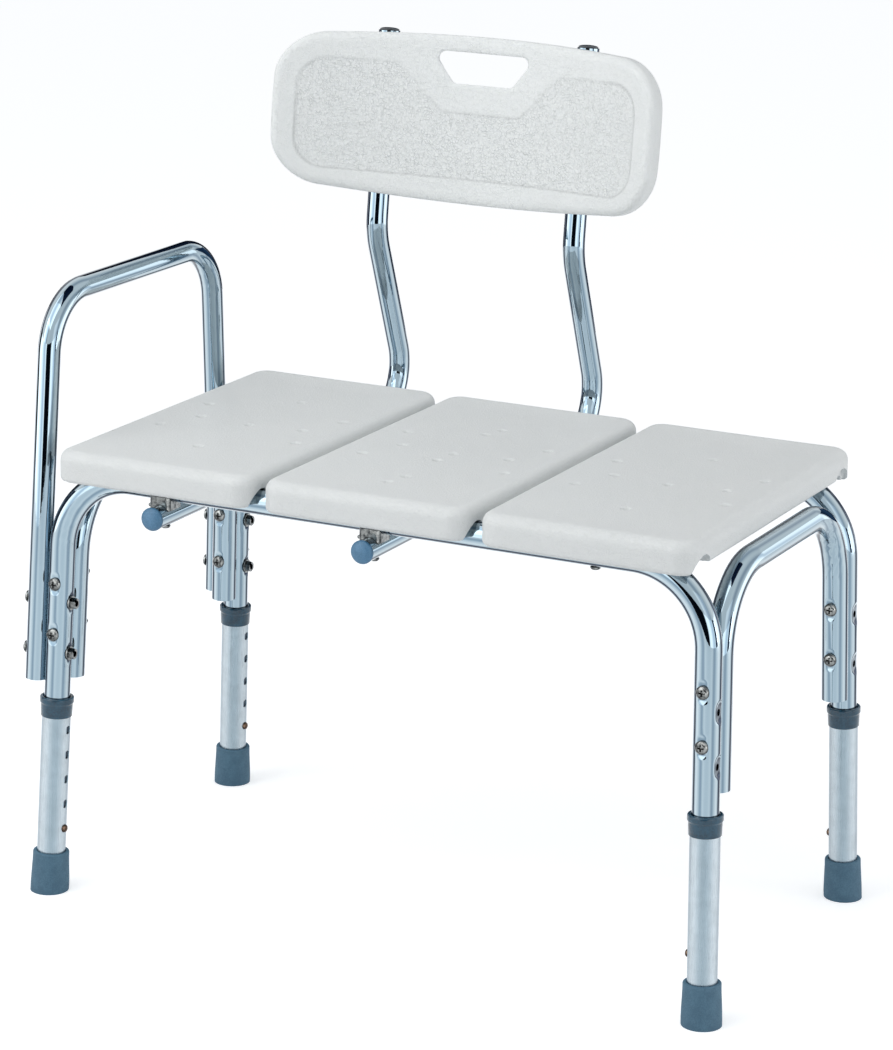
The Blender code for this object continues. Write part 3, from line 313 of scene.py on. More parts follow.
@dataclass(frozen=True)
class GrainedPlastic(Finish):
    """Blow-moulded polyethylene from a mould with a leather grain: waxy off-white, softly creased."""

    # Painted shade: the darker colour that the grain's creases take.
    crease_shade_colour: str = "DBDFDE"
    cell: float = 0.0030
    crease_width: float = 0.14
    wander: float = 0.0022
    depth: float = 0.00046
    pore: float = 0.0009
    pore_share: float = 0.30
    cloud_size: float = 0.045
    cloud_share: float = 0.15

    def detail(self, graph: Graph, place: NodeSocket) -> dict:
        """Leather creases between small cells, as deep as the piece's grain attribute says.

        The real grain is about 3 mm wide. It is drawn a little coarser so that it shows. The creases are
        also darkened in colour, a painted shade. The tone attribute scales the colour: it is lower for
        painted shade in the seat's dimples and along the backrest field's edge, and above one for painted
        light on the whole backrest.
        """
        wander = graph.add(NOISE, {"Vector": place, "Scale": 1 / (2.2 * self.cell), "Detail": 3.0})
        centred = graph.add(VECTOR, (wander.outputs["Color"], (0.5, 0.5, 0.5)), operation="SUBTRACT")
        shifted = graph.add(VECTOR, (centred, (2 * self.wander,) * 3, place), operation="MULTIPLY_ADD")
        cells = graph.add(
            "ShaderNodeTexVoronoi", {"Vector": shifted, "Scale": 1 / self.cell}, feature="DISTANCE_TO_EDGE",
        )
        pillow = graph.add(RANGE, (cells, 0.0, self.crease_width))
        pores = graph.add(NOISE, {"Vector": place, "Scale": 1 / self.pore, "Detail": 2.0})
        share = graph.add(ATTRIBUTE, attribute_name="grain").outputs["Fac"]
        patches = graph.add(NOISE, {"Vector": place, "Scale": 1 / (1.2 * self.cell), "Detail": 2.0})
        broken = graph.add(RANGE, (patches, 0.36, 0.60, 0.30, 1.0))
        grain = graph.add(MATH, (share, broken), operation="MULTIPLY")
        raised = graph.add(MATH, (pillow, grain), operation="MULTIPLY")
        height = graph.add(MATH, (pores, self.pore_share, raised), operation="MULTIPLY_ADD")
        bump = graph.add(BUMP, {"Height": height, "Distance": self.depth})
        # Painted shade: the colour darkens towards the creases between the cells; the clouds are random tone.
        sunk = graph.add(RANGE, (pillow, 0.6, 0.0))
        painted_crease_shade = graph.add(MATH, (sunk, grain), operation="MULTIPLY")
        haze = graph.add(NOISE, {"Vector": place, "Scale": 1 / self.cloud_size, "Detail": 3.0})
        clouds = graph.add(RANGE, (haze, 0.35, 0.7, 0.0, self.cloud_share))
        shade = graph.add(MATH, (painted_crease_shade, clouds), operation="ADD")
        colours = {0: shade, MIX_FIRST: linear(self.colour), MIX_SECOND: linear(self.crease_shade_colour)}
        plain = graph.add(MIX, colours, data_type="RGBA").outputs[MIX_RESULT]
        # The tone attribute carries painted shade in dimples and along the backrest field's edge, and painted
        # light on the backrest.
        gain = graph.add(ATTRIBUTE, attribute_name="tone").outputs["Fac"]
        tone = graph.add(VECTOR, {0: plain, 3: gain}, operation="SCALE")
        rough = graph.add(RANGE, (pores, 0.3, 0.7, self.roughness - 0.05, self.roughness + 0.08))
        return {
            "Base Color": tone, "Roughness": rough, "Normal": bump,
            "Subsurface Weight": 0.08, "Subsurface Radius": (0.004, 0.004, 0.0035), "Subsurface Scale": 1.0,
        }


@dataclass(frozen=True)
class MouldedSkin(Finish):
    """Injection-moulded plastic or rubber with a spark-eroded skin: even, with a fine dull speckle."""

    shade: str = "000000"
    speck: float = 0.0011
    depth: float = 0.00010
    cloud_size: float = 0.009
    scuff: float = 0.0
    scuff_height: float = 0.012

    def detail(self, graph: Graph, place: NodeSocket) -> dict:
        """A speckled skin, cloudy colour, and pale scuffs near the floor where scuff is above zero."""
        specks = graph.add(NOISE, {"Vector": place, "Scale": 1 / self.speck, "Detail": 3.0})
        clouds = graph.add(NOISE, {"Vector": place, "Scale": 1 / self.cloud_size, "Detail": 4.0})
        half = graph.add(MATH, (clouds, 0.5), operation="MULTIPLY")
        both = graph.add(MATH, (specks, 0.5, half), operation="MULTIPLY_ADD")
        share = graph.add(RANGE, (both, 0.38, 0.62))
        if self.scuff:
            height = graph.add("ShaderNodeSeparateXYZ", {"Vector": place}).outputs["Z"]
            foot = graph.add(RANGE, (height, 0.0, self.scuff_height, self.scuff, 0.0))
            pale = graph.add(MATH, (foot, clouds), operation="MULTIPLY")
            share = graph.add(MATH, (share, pale), operation="ADD")
        colours = {0: share, MIX_FIRST: linear(self.colour), MIX_SECOND: linear(self.shade)}
        tone = graph.add(MIX, colours, data_type="RGBA").outputs[MIX_RESULT]
        rough = graph.add(RANGE, (specks, 0.3, 0.7, self.roughness - 0.06, self.roughness + 0.06))
        bump = graph.add(BUMP, {"Height": specks, "Distance": self.depth})
        return {"Base Color": tone, "Roughness": rough, "Normal": bump}


@dataclass(frozen=True)
class PlatedMetal(Finish):
    """Zinc-plated steel or bare brass on small pressed parts: bright, with handling stains and painted
    reflection bands.
    """

    # Painted reflection: base colour stops, dark and bright, by how far the surface turns away.
    reflection_ramp: ReflectionRamp = (
        (0.0, "C6C8C7"), (0.10, "9A9C9B"), (0.26, "6A6C6D"), (0.38, "3E4041"), (0.48, "9A9C9D"),
        (0.64, "A8AAAB"), (0.80, "3A3C3E"), (1.0, "A8AAAC"),
    )
    stain: str = "6C6F73"
    stain_size: float = 0.0035
    stain_gain: float = 0.18
    depth: float = 0.00004

    def detail(self, graph: Graph, place: NodeSocket) -> dict:
        """Stains that darken and dull the plate, the small dents of tumbling, and painted reflection bands.
        """
        marks = graph.add(NOISE, {"Vector": place, "Scale": 1 / self.stain_size, "Detail": 4.0})
        stains = graph.add(RANGE, (marks, 0.42, 0.70))
        dents = graph.add(NOISE, {"Vector": place, "Scale": 1 / (self.stain_size / 4), "Detail": 2.0})
        colours = {0: stains, MIX_FIRST: linear(self.colour), MIX_SECOND: linear(self.stain)}
        stained = graph.add(MIX, colours, data_type="RGBA").outputs[MIX_RESULT]
        # Painted reflection: the stained colour is multiplied by dark and bright bands by how far the surface
        # turns from the eye.
        facing = graph.add(FACING, {"Blend": 0.5}).outputs["Facing"]
        turned = graph.add(RAMP, {"Fac": facing}, stops=self.reflection_ramp)
        tone = graph.add(VECTOR, (stained, turned), operation="MULTIPLY")
        rough = graph.add(RANGE, (stains, 0.0, 1.0, self.roughness, self.roughness + self.stain_gain))
        bump = graph.add(BUMP, {"Height": dents, "Distance": self.depth})
        return {"Base Color": tone, "Roughness": rough, "Normal": bump}


CHROME = ChromePlate("chrome_plated_steel_tube", Slot.CHROME, "BFCCD8", 0.03, 1.0)
ALUMINIUM = SatinAluminium("anodised_aluminium_tube", Slot.ALUMINIUM, "D8E0E8", 0.28, 1.0)
SEAT_PLASTIC = GrainedPlastic("blow_moulded_polyethylene", Slot.SEAT, "E4E6E5", 0.50)
CAP_PLASTIC = MouldedSkin("blue_polyethylene_cap", Slot.CAP, "5584A7", 0.42, shade="447191")
DARK_PLASTIC = MouldedSkin("dark_polyamide_cap", Slot.DARK, "26343F", 0.28, coat=0.3, shade="141C23")
COLLAR_PLASTIC = MouldedSkin(
    "blue_grey_polyamide_collar", Slot.COLLAR, "1D5068", 0.14, coat=0.12, shade="12384B",
)
RUBBER = MouldedSkin(
    "blue_grey_rubber_tip", Slot.RUBBER, "4F7489", 0.72, shade="42657B", depth=0.00022, scuff=0.9,
)
BRASS = PlatedMetal(
    "aged_brass_button", Slot.BRASS, "C9A58E", 0.30, 1.0, stain="75594A", stain_size=0.0020,
)
ZINC = PlatedMetal("zinc_plated_steel", Slot.STEEL, "F8F9F8", 0.14, 1.0)


# Meshes


def outward(mesh: Mesh) -> Mesh:
    """Merge doubles and turn the faces of a closed mesh outwards, in place."""
    work = bmesh.new()
    work.from_mesh(mesh)
    bmesh.ops.remove_doubles(work, verts=work.verts, dist=1e-6)
    if work.calc_volume(signed=True) < 0:
        bmesh.ops.reverse_faces(work, faces=work.faces)
    work.to_mesh(mesh)
    work.free()
    return mesh


def linked(name: str, data: Optional[bpy.types.ID]) -> Object:
    """Make an object of some data and link it to the scene."""
    item = bpy.data.objects.new(name, data)
    bpy.context.scene.collection.objects.link(item)
    return item


def places_of(mesh: Mesh) -> Array:
    """Where a mesh's vertices are, one row for each."""
    places = np.empty(len(mesh.vertices) * 3)
    mesh.vertices.foreach_get("co", places)
    return places.reshape(-1, 3)


def mesh_of(name: str, points: Iterable, faces: Iterable) -> Mesh:
    """Make a closed mesh of points and faces, with its faces outwards."""
    mesh = bpy.data.meshes.new(name)
    mesh.from_pydata([tuple(point) for point in points], [], [tuple(face) for face in faces])
    return outward(mesh)


def lathe(name: str, profile: Profile, sides: int = 64) -> Mesh:
    """Turn a profile about Z.

    Args:
        name: The mesh's name.
        profile: (radius, height) pairs. A radius of zero is a pole. Without poles the profile closes
            on itself, as for a ring.
        sides: How many flats go round.

    Returns:
        The closed mesh.
    """
    points: list[Triple] = []
    loops: list[list[int]] = []
    for radius, height in profile:
        if radius == 0:
            loops.append([len(points)] * sides)
            points.append((0.0, 0.0, height))
        else:
            loops.append([len(points) + k for k in range(sides)])
            turns = [2 * math.pi * k / sides for k in range(sides)]
            points += [(radius * math.cos(t), radius * math.sin(t), height) for t in turns]
    ring = profile[0][0] > 0
    pairs = list(zip(loops, loops[1:])) + ([(loops[-1], loops[0])] if ring else [])
    faces = []
    for low, high in pairs:
        for k in range(sides):
            n = (k + 1) % sides
            faces.append(list(dict.fromkeys((low[k], low[n], high[n], high[k]))))
    return mesh_of(name, points, faces)


def rod(name: str, radius: float, length: float, sides: int = 64) -> Mesh:
    """A plain rod from the origin up Z."""
    return lathe(name, [(0, 0), (radius, 0), (radius, length), (0, length)], sides)


def rounded_profile(corners: Profile, radii: Sequence[float], steps: int = 4) -> list[Pair]:
    """Round the corners of a profile.

    Args:
        corners: The profile's corner points.
        radii: A radius for each corner. Zero keeps it sharp.
        steps: How many edges each rounding takes.

    Returns:
        The points of the rounded profile.
    """
    done: list[Pair] = []
    count = len(corners)
    for i, (corner, radius) in enumerate(zip(corners, radii)):
        here = Vector(corner)
        if radius == 0:
            done.append(tuple(here))
            continue
        back = (Vector(corners[i - 1]) - here).normalized()
        ahead = (Vector(corners[(i + 1) % count]) - here).normalized()
        half = back.angle(ahead) / 2
        middle = here + (back + ahead).normalized() * radius / math.sin(half)
        start = here + back * radius / math.tan(half) - middle
        sweep = start.angle_signed(here + ahead * radius / math.tan(half) - middle)
        done += [tuple(middle + Matrix.Rotation(-sweep * k / steps, 2) @ start) for k in range(steps + 1)]
    return done


def cut(mesh: Mesh, tools: Sequence[Mesh], operation: str = "DIFFERENCE") -> Mesh:
    """Cut closed tools out of a closed mesh, or join or intersect them, one after the other."""
    for tool in tools:
        body = linked("body", mesh)
        other = linked("tool", tool)
        step = body.modifiers.new("cut", "BOOLEAN")
        step.operation = operation
        step.solver = "EXACT"
        step.object = other
        mesh = baked(body)
        bpy.data.objects.remove(other)
    return mesh


def baked(item: Object) -> Mesh:
    """The plain mesh of an object with its modifiers applied. The object is then removed."""
    bpy.context.view_layer.update()
    graph = bpy.context.evaluated_depsgraph_get()
    mesh = bpy.data.meshes.new_from_object(item.evaluated_get(graph), depsgraph=graph)
    bpy.data.objects.remove(item)
    return outward(mesh)


def aim(point: Vector, direction: Vector) -> Matrix:
    """A place at the point whose Z axis runs along the direction."""
    return Matrix.Translation(point) @ Vector(direction).to_track_quat("Z", "Y").to_matrix().to_4x4()


def ease(value: Array, start: float, end: float) -> Array:
    """A smooth step from 0 at start to 1 at end."""
    t = np.clip((np.asarray(value, float) - start) / (end - start), 0, 1)
    return t * t * (3 - 2 * t)


def quarter(distance: Array, radius: float) -> Array:
    """How far a rounded edge falls away at a distance inside it."""
    inside = np.clip(radius - distance, 0, radius)
    return radius - np.sqrt(np.maximum(radius ** 2 - inside ** 2, 0))


def signed_distance(points: Array, outline: Array) -> Array:
    """How far points lie inside a closed outline. Points outside it are negative.

    Args:
        points: An array of (u, v) pairs.
        outline: The outline's corners, as (u, v) pairs.

    Returns:
        One distance for each point.
    """
    ends = np.roll(outline, -1, axis=0)
    run = ends - outline
    slope = run[:, 0] / np.where(run[:, 1] == 0, TINY, run[:, 1])
    distances = []
    for some in np.array_split(points, max(1, len(points) // POINTS_AT_ONCE)):
        offset = some[:, None, :] - outline[None]
        share = np.clip((offset * run).sum(-1) / np.maximum((run ** 2).sum(-1), TINY), 0, 1)
        nearest = np.sqrt(((offset - share[..., None] * run) ** 2).sum(-1)).min(1)
        crossing = (outline[None, :, 1] > some[:, None, 1]) != (ends[None, :, 1] > some[:, None, 1])
        inside = (crossing & (offset[..., 0] < offset[..., 1] * slope)).sum(1) % 2 == 1
        distances.append(np.where(inside, nearest, -nearest))
    return np.concatenate(distances)


def grid_lines(
    low: float, high: float, spans: Sequence[Triple], step: float,
) -> Array:
    """Grid lines from low to high, close together where there is detail.

    Args:
        low: The first line.
        high: The last line.
        spans: (from, to, spacing) for each stretch with detail.
        step: The widest spacing elsewhere.

    Returns:
        The sorted lines.
    """
    marks = {low, high}
    for start, end, spacing in spans:
        count = max(1, round((end - start) / spacing))
        marks.update(start + (end - start) * k / count for k in range(count + 1))
    kept = [low]
    for mark in sorted(mark for mark in marks if low < mark < high):
        if mark - kept[-1] > step * 0.04 and high - mark > step * 0.02:
            kept.append(mark)
    kept.append(high)
    lines = [low]
    for start, end in zip(kept, kept[1:]):
        count = math.ceil((end - start) / step - 1e-9)
        lines += [start + (end - start) * (k + 1) / count for k in range(count)]
    return np.array(lines)


def insets(radius: float, steps: int) -> list[float]:
    """How far inside an edge each line of its rounding lies."""
    return [radius * (1 - math.cos(math.pi / 2 * k / steps)) for k in range(steps + 1)]


def edge_lines(low: float, high: float, radius: float, steps: int = 8) -> list[Triple]:
    """Spans whose lines follow the rounding of both edges of a plate."""
    spans = []
    inset = insets(radius, steps)
    for near, far in zip(inset, inset[1:]):
        spans += [(low + near, low + far, far - near), (high - far, high - near, far - near)]
    return spans


@dataclass
class Plate:
    """A moulded plate: an upper and a lower skin over one rounded outline, joined by a side wall."""

    us: Array
    vs: Array
    corner: float
    wall_rings: int = 4

    def plan(self) -> Array:
        """The grid's points, with its corner squares drawn in to quarter circles."""
        u, v = np.meshgrid(self.us, self.vs, indexing="ij")
        centre_u, centre_v = (self.us[0] + self.us[-1]) / 2, (self.vs[0] + self.vs[-1]) / 2
        reach_u = self.us[-1] - centre_u - self.corner
        reach_v = self.vs[-1] - centre_v - self.corner
        a = np.clip((np.abs(u - centre_u) - reach_u) / self.corner, 0, 1)
        b = np.clip((np.abs(v - centre_v) - reach_v) / self.corner, 0, 1)
        drawn_u = np.abs(u - centre_u) - self.corner * a * (1 - np.sqrt(1 - b * b / 2))
        drawn_v = np.abs(v - centre_v) - self.corner * b * (1 - np.sqrt(1 - a * a / 2))
        return np.stack([
            centre_u + np.copysign(drawn_u, u - centre_u), centre_v + np.copysign(drawn_v, v - centre_v),
        ], axis=-1)

    def rim(self) -> list[tuple[int, int]]:
        """The grid indices round the outline, in order."""
        last_u, last_v = len(self.us) - 1, len(self.vs) - 1
        return (
            [(i, 0) for i in range(last_u)] + [(last_u, j) for j in range(last_v)]
            + [(i, last_v) for i in range(last_u, 0, -1)] + [(0, j) for j in range(last_v, 0, -1)]
        )

    def skins(
        self, plan: Array, upper: Skin, lower: Skin, hole: Optional["Hole"] = None,
    ) -> tuple[Array, Faces]:
        """Build both skins and the wall.

        Args:
            plan: The grid's points in the plate's plane.
            upper: The upper skin's height at an array of points.
            lower: The lower skin's height at an array of points.
            hole: An opening through the plate.

        Returns:
            The points, as (u, v, height), and the faces.
        """
        nu, nv = len(self.us), len(self.vs)
        flat = plan.reshape(-1, 2)
        tops = np.column_stack([flat, upper(flat)])
        lows = np.column_stack([flat, lower(flat)])
        points = [tops, lows]
        size = len(flat)
        faces: Faces = []
        for i in range(nu - 1):
            for j in range(nv - 1):
                if hole and hole.covers(i, j):
                    continue
                corners = [i * nv + j, (i + 1) * nv + j, (i + 1) * nv + j + 1, i * nv + j + 1]
                faces.append(tuple(corners))
                faces.append(tuple(size + k for k in reversed(corners)))
        loop = [i * nv + j for i, j in self.rim()]
        rings = [loop]
        start = 2 * size
        for k in range(1, self.wall_rings):
            share = k / self.wall_rings
            points.append(tops[loop] * (1 - share) + lows[loop] * share)
            rings.append(list(range(start, start + len(loop))))
            start += len(loop)
        rings.append([size + k for k in loop])
        faces += band(rings)
        if hole:
            extra, more = hole.fill(self, tops, upper, lower, start, size)
            points.append(extra)
            faces += more
        return np.vstack(points), faces


def band(rings: Sequence[Sequence[int]]) -> Faces:
    """Faces between closed rings of equal length."""
    faces = []
    for first, second in zip(rings, rings[1:]):
        for k in range(len(first)):
            n = (k + 1) % len(first)
            faces.append((first[k], second[k], second[n], first[n]))
    return faces


@dataclass
class Hole:
    """An opening through a plate, set in a rectangle of its grid and rounded on both rims."""

    outline: list[Array]
    i_range: tuple[int, int]
    j_range: tuple[int, int]
    lip: float
    lip_steps: int = 6
    field_steps: int = 3
    wall_steps: int = 4

    def covers(self, i: int, j: int) -> bool:
        """Whether the grid cell lies in the rectangle that this hole fills."""
        return self.i_range[0] <= i < self.i_range[1] and self.j_range[0] <= j < self.j_range[1]

    def sides(self) -> list[list[tuple[int, int]]]:
        """The grid indices along each side of the rectangle, each without its last corner."""
        (i0, i1), (j0, j1) = self.i_range, self.j_range
        return [
            [(i, j0) for i in range(i0, i1)], [(i1, j) for j in range(j0, j1)],
            [(i, j1) for i in range(i1, i0, -1)], [(i0, j) for j in range(j1, j0, -1)],
        ]

    def loop(self, offset: float) -> Array:
        """The opening's outline moved outwards, with one point for each grid point round it.

        Args:
            offset: How far to move it, in metres.

        Returns:
            The points as (u, v) pairs.
        """
        whole: list[Array] = []
        for side, indices in zip(self.outline, self.sides()):
            steps = np.linalg.norm(np.diff(side, axis=0), axis=1)
            along = np.concatenate([[0], np.cumsum(steps)])
            wanted = np.linspace(0, along[-1], len(indices) + 1)[:-1]
            whole.append(np.column_stack([np.interp(wanted, along, side[:, k]) for k in (0, 1)]))
        points = np.vstack(whole)
        run = np.roll(points, -1, axis=0) - np.roll(points, 1, axis=0)
        normal = np.column_stack([run[:, 1], -run[:, 0]])
        return points + offset * normal / np.linalg.norm(normal, axis=1, keepdims=True)

    def fill(
        self, plate: Plate, tops: Array, upper: Skin, lower: Skin, start: int, size: int,
    ) -> tuple[Array, Faces]:
        """Build the field round the opening, its rims and its inner wall.

        Args:
            plate: The plate that has this hole.
            tops: The upper skin's grid points.
            upper: The upper skin's height at an array of points.
            lower: The lower skin's height at an array of points.
            start: The index of the first new point.
            size: How many points a skin's grid has.

        Returns:
            The new points and the faces.
        """
        nv = len(plate.vs)
        border = [i * nv + j for side in self.sides() for i, j in side]
        edge = tops[border][:, :2]
        run = self.loop(self.lip) - edge
        flats = [edge + run * k / self.field_steps for k in range(1, self.field_steps)]
        flats += [self.loop(offset) for offset in reversed(insets(self.lip, self.lip_steps))]
        points: list[Array] = []
        tracks: list[list[list[int]]] = []
        for height, first in ((upper, border), (lower, [size + k for k in border])):
            rings = [first]
            for flat in flats:
                points.append(np.column_stack([flat, height(flat)]))
                rings.append(list(range(start, start + len(flat))))
                start += len(flat)
            tracks.append(rings)
        top_rim, low_rim = points[len(flats) - 1], points[-1]
        wall = [tracks[0][-1]]
        for k in range(1, self.wall_steps):
            share = k / self.wall_steps
            points.append(top_rim * (1 - share) + low_rim * share)
            wall.append(list(range(start, start + len(border))))
            start += len(border)
        wall.append(tracks[1][-1])
        faces = band(tracks[0]) + band(wall) + band(tracks[1][::-1])
        return np.vstack(points), faces


# Geometry node groups


class NodeShape:
    """A geometry node group with named inputs, which is baked to a plain mesh."""

    def __init__(self, name: str, inputs: dict[str, str]) -> None:
        """Make the group's sockets.

        Args:
            name: The group's name.
            inputs: Input name to socket type, without its prefix.
        """
        self.tree = bpy.data.node_groups.new(name, "GeometryNodeTree")
        self.graph = Graph(self.tree)
        sockets = self.tree.interface
        sockets.new_socket(name="Geometry", in_out="INPUT", socket_type="NodeSocketGeometry")
        sockets.new_socket(name="Geometry", in_out="OUTPUT", socket_type="NodeSocketGeometry")
        self.identifiers: dict[str, str] = {}
        for label, kind in {**inputs, "Material": "Material"}.items():
            socket = sockets.new_socket(name=label, in_out="INPUT", socket_type="NodeSocket" + kind)
            self.identifiers[label] = socket.identifier
        self.source = self.graph.add("NodeGroupInput").outputs

    def finish(self, geometry: Node) -> None:
        """End the group: instances are made real and take the group's material."""
        real = self.graph.add("GeometryNodeRealizeInstances", {"Geometry": geometry})
        links = {"Geometry": real, "Material": self.source["Material"]}
        painted = self.graph.add("GeometryNodeSetMaterial", links)
        self.graph.add("NodeGroupOutput", {"Geometry": painted})

    def bake(self, mesh: Mesh, values: dict[str, object], wall: float = 0.0) -> Mesh:
        """Run the group on a mesh.

        Args:
            mesh: What the group starts from.
            values: Input name to value.
            wall: The thickness that the resulting skin gets inwards. Zero leaves it as it is.

        Returns:
            The plain mesh.
        """
        item = linked(self.tree.name, mesh)
        step = item.modifiers.new("shape", "NODES")
        step.node_group = self.tree
        for label, value in values.items():
            step[self.identifiers[label]] = value
        if wall:
            shell = item.modifiers.new("wall", "SOLIDIFY")
            shell.thickness = wall
            shell.offset = -1
        return baked(item)


def sweep_shape() -> NodeShape:
    """A group that sweeps a circle along a line of edges."""
    shape = NodeShape("tube_sweep", {"Radius": "Float", "Sides": "Int"})
    graph, given = shape.graph, shape.source
    line = graph.add("GeometryNodeMeshToCurve", {"Mesh": given["Geometry"]})
    circle = graph.add(
        "GeometryNodeCurvePrimitiveCircle", {"Resolution": given["Sides"], "Radius": given["Radius"]},
    )
    shape.finish(graph.add("GeometryNodeCurveToMesh", {"Curve": line, "Profile Curve": circle}))
    return shape


def fastener_shape() -> NodeShape:
    """A group that sets one fastener on every point, along the point's own direction."""
    shape = NodeShape("fastener_set", {"Fastener": "Object"})
    graph, given = shape.graph, shape.source
    piece = graph.add("GeometryNodeObjectInfo", {"Object": given["Fastener"]}).outputs["Geometry"]
    way = graph.add("GeometryNodeInputNamedAttribute", {"Name": "direction"}, data_type="FLOAT_VECTOR")
    turn = graph.add("FunctionNodeAlignRotationToVector", {"Vector": way}, axis="Z")
    links = {"Points": given["Geometry"], "Instance": piece, "Rotation": turn}
    shape.finish(graph.add("GeometryNodeInstanceOnPoints", links))
    return shape


def sleeve_shape() -> NodeShape:
    """A group that makes a tube along Z with a straight row of holes in one wall."""
    shape = NodeShape("perforated_sleeve", {
        "Radius": "Float", "Bore": "Float", "Length": "Float", "Middle": "Vector",
        "Hole Radius": "Float", "First Hole": "Vector", "Pitch": "Vector", "Count": "Int", "Sides": "Int",
    })
    graph, given = shape.graph, shape.source
    bodies = []
    for radius, extra in (("Radius", 1.0), ("Bore", 1.1)):
        length = graph.add(MATH, (given["Length"], extra), operation="MULTIPLY")
        links = {"Vertices": given["Sides"], "Radius": given[radius], "Depth": length}
        body = graph.add("GeometryNodeMeshCylinder", links)
        bodies.append(graph.add("GeometryNodeTransform", {"Geometry": body, "Translation": given["Middle"]}))
    links = {"Vertices": 32, "Radius": given["Hole Radius"], "Depth": given["Radius"]}
    drill = graph.add("GeometryNodeMeshCylinder", links)
    links = {"Count": given["Count"], "Start Location": given["First Hole"], "Offset": given["Pitch"]}
    row = graph.add("GeometryNodeMeshLine", links)
    links = {"Points": row, "Instance": drill, "Rotation": (0, math.pi / 2, 0)}
    holes = graph.add("GeometryNodeInstanceOnPoints", links)
    real = graph.add("GeometryNodeRealizeInstances", {"Geometry": holes})
    tube = {"Mesh 1": bodies[0], "Mesh 2": bodies[1]}
    links = {"Mesh 1": graph.add("GeometryNodeMeshBoolean", tube, operation="DIFFERENCE"), "Mesh 2": real}
    shape.finish(graph.add("GeometryNodeMeshBoolean", links, operation="DIFFERENCE"))
    return shape


def dimple_shape() -> NodeShape:
    """A group that presses a round dimple into a skin at every vertex of another object."""
    shape = NodeShape("dimple_press", {"Places": "Object", "Radius": "Float", "Depth": "Float"})
    graph, given = shape.graph, shape.source
    marks = graph.add("GeometryNodeObjectInfo", {"Object": given["Places"]}).outputs["Geometry"]
    near = graph.add("GeometryNodeProximity", {"Geometry": marks}, target_element="POINTS")
    share = graph.add(MATH, (near.outputs["Distance"], given["Radius"]), operation="DIVIDE")
    bowl = graph.add(RANGE, (share, 0.30, 1.0, -1.0, 0.0), interpolation_type="SMOOTHSTEP")
    sink = graph.add(MATH, (bowl, given["Depth"]), operation="MULTIPLY")
    offset = graph.add("ShaderNodeCombineXYZ", {"Z": sink})
    shape.finish(graph.add("GeometryNodeSetPosition", {"Geometry": given["Geometry"], "Offset": offset}))
    return shape


class Workshop:
    """Where finished meshes become pieces of the bench."""

    def __init__(self, middle: Vector) -> None:
        """Prepare the materials and node groups.

        Args:
            middle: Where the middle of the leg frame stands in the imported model.
        """
        self.middle = middle
        finishes = (
            CHROME, ALUMINIUM, SEAT_PLASTIC, CAP_PLASTIC, DARK_PLASTIC, COLLAR_PLASTIC, RUBBER, BRASS, ZINC,
        )
        self.materials = {finish: finish.material() for finish in finishes}
        self.sweep = sweep_shape()
        self.fasteners = fastener_shape()
        self.sleeve = sleeve_shape()
        self.dimples = dimple_shape()

    def place(
        self, name: str, mesh: Mesh, finish: Finish, body: str, nodes: Sequence[str],
        sharp_degrees: float = 35.0,
    ) -> Object:
        """Make a piece of a mesh that is laid out about the middle of the leg frame.

        Args:
            name: The piece's name.
            mesh: Its finished mesh.
            finish: What it is made of.
            body: The body that it moves with.
            nodes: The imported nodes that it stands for.
            sharp_degrees: The angle above which an edge stays sharp.

        Returns:
            The new object.
        """
        mesh.transform(Matrix.Translation(self.middle))
        mesh.materials.clear()
        mesh.materials.append(self.materials[finish])
        mesh.polygons.foreach_set("material_index", [0] * len(mesh.polygons))
        mesh.shade_smooth()
        mesh.set_sharp_from_angle(angle=math.radians(sharp_degrees))
        mesh.name = name
        item = linked(name, mesh)
        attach(item, body)
        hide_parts(*nodes)
        log.info("%s: %d faces, rides on %s", name, len(mesh.polygons), body)
        return item

    def fit(
        self, node: str, part: str, mesh: Mesh, finish: Finish, body: str = "bench",
        sharp_degrees: float = 35.0,
    ) -> Object:
        """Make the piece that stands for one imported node.

        Args:
            node: The node's name, which the piece's name starts with.
            part: What the piece is, which its name ends with.
            mesh: Its finished mesh.
            finish: What it is made of.
            body: The body that it moves with.
            sharp_degrees: The angle above which an edge stays sharp.

        Returns:
            The new object.
        """
        return self.place(f"{node}_{part}", mesh, finish, body, [node], sharp_degrees)


# The bench's layout


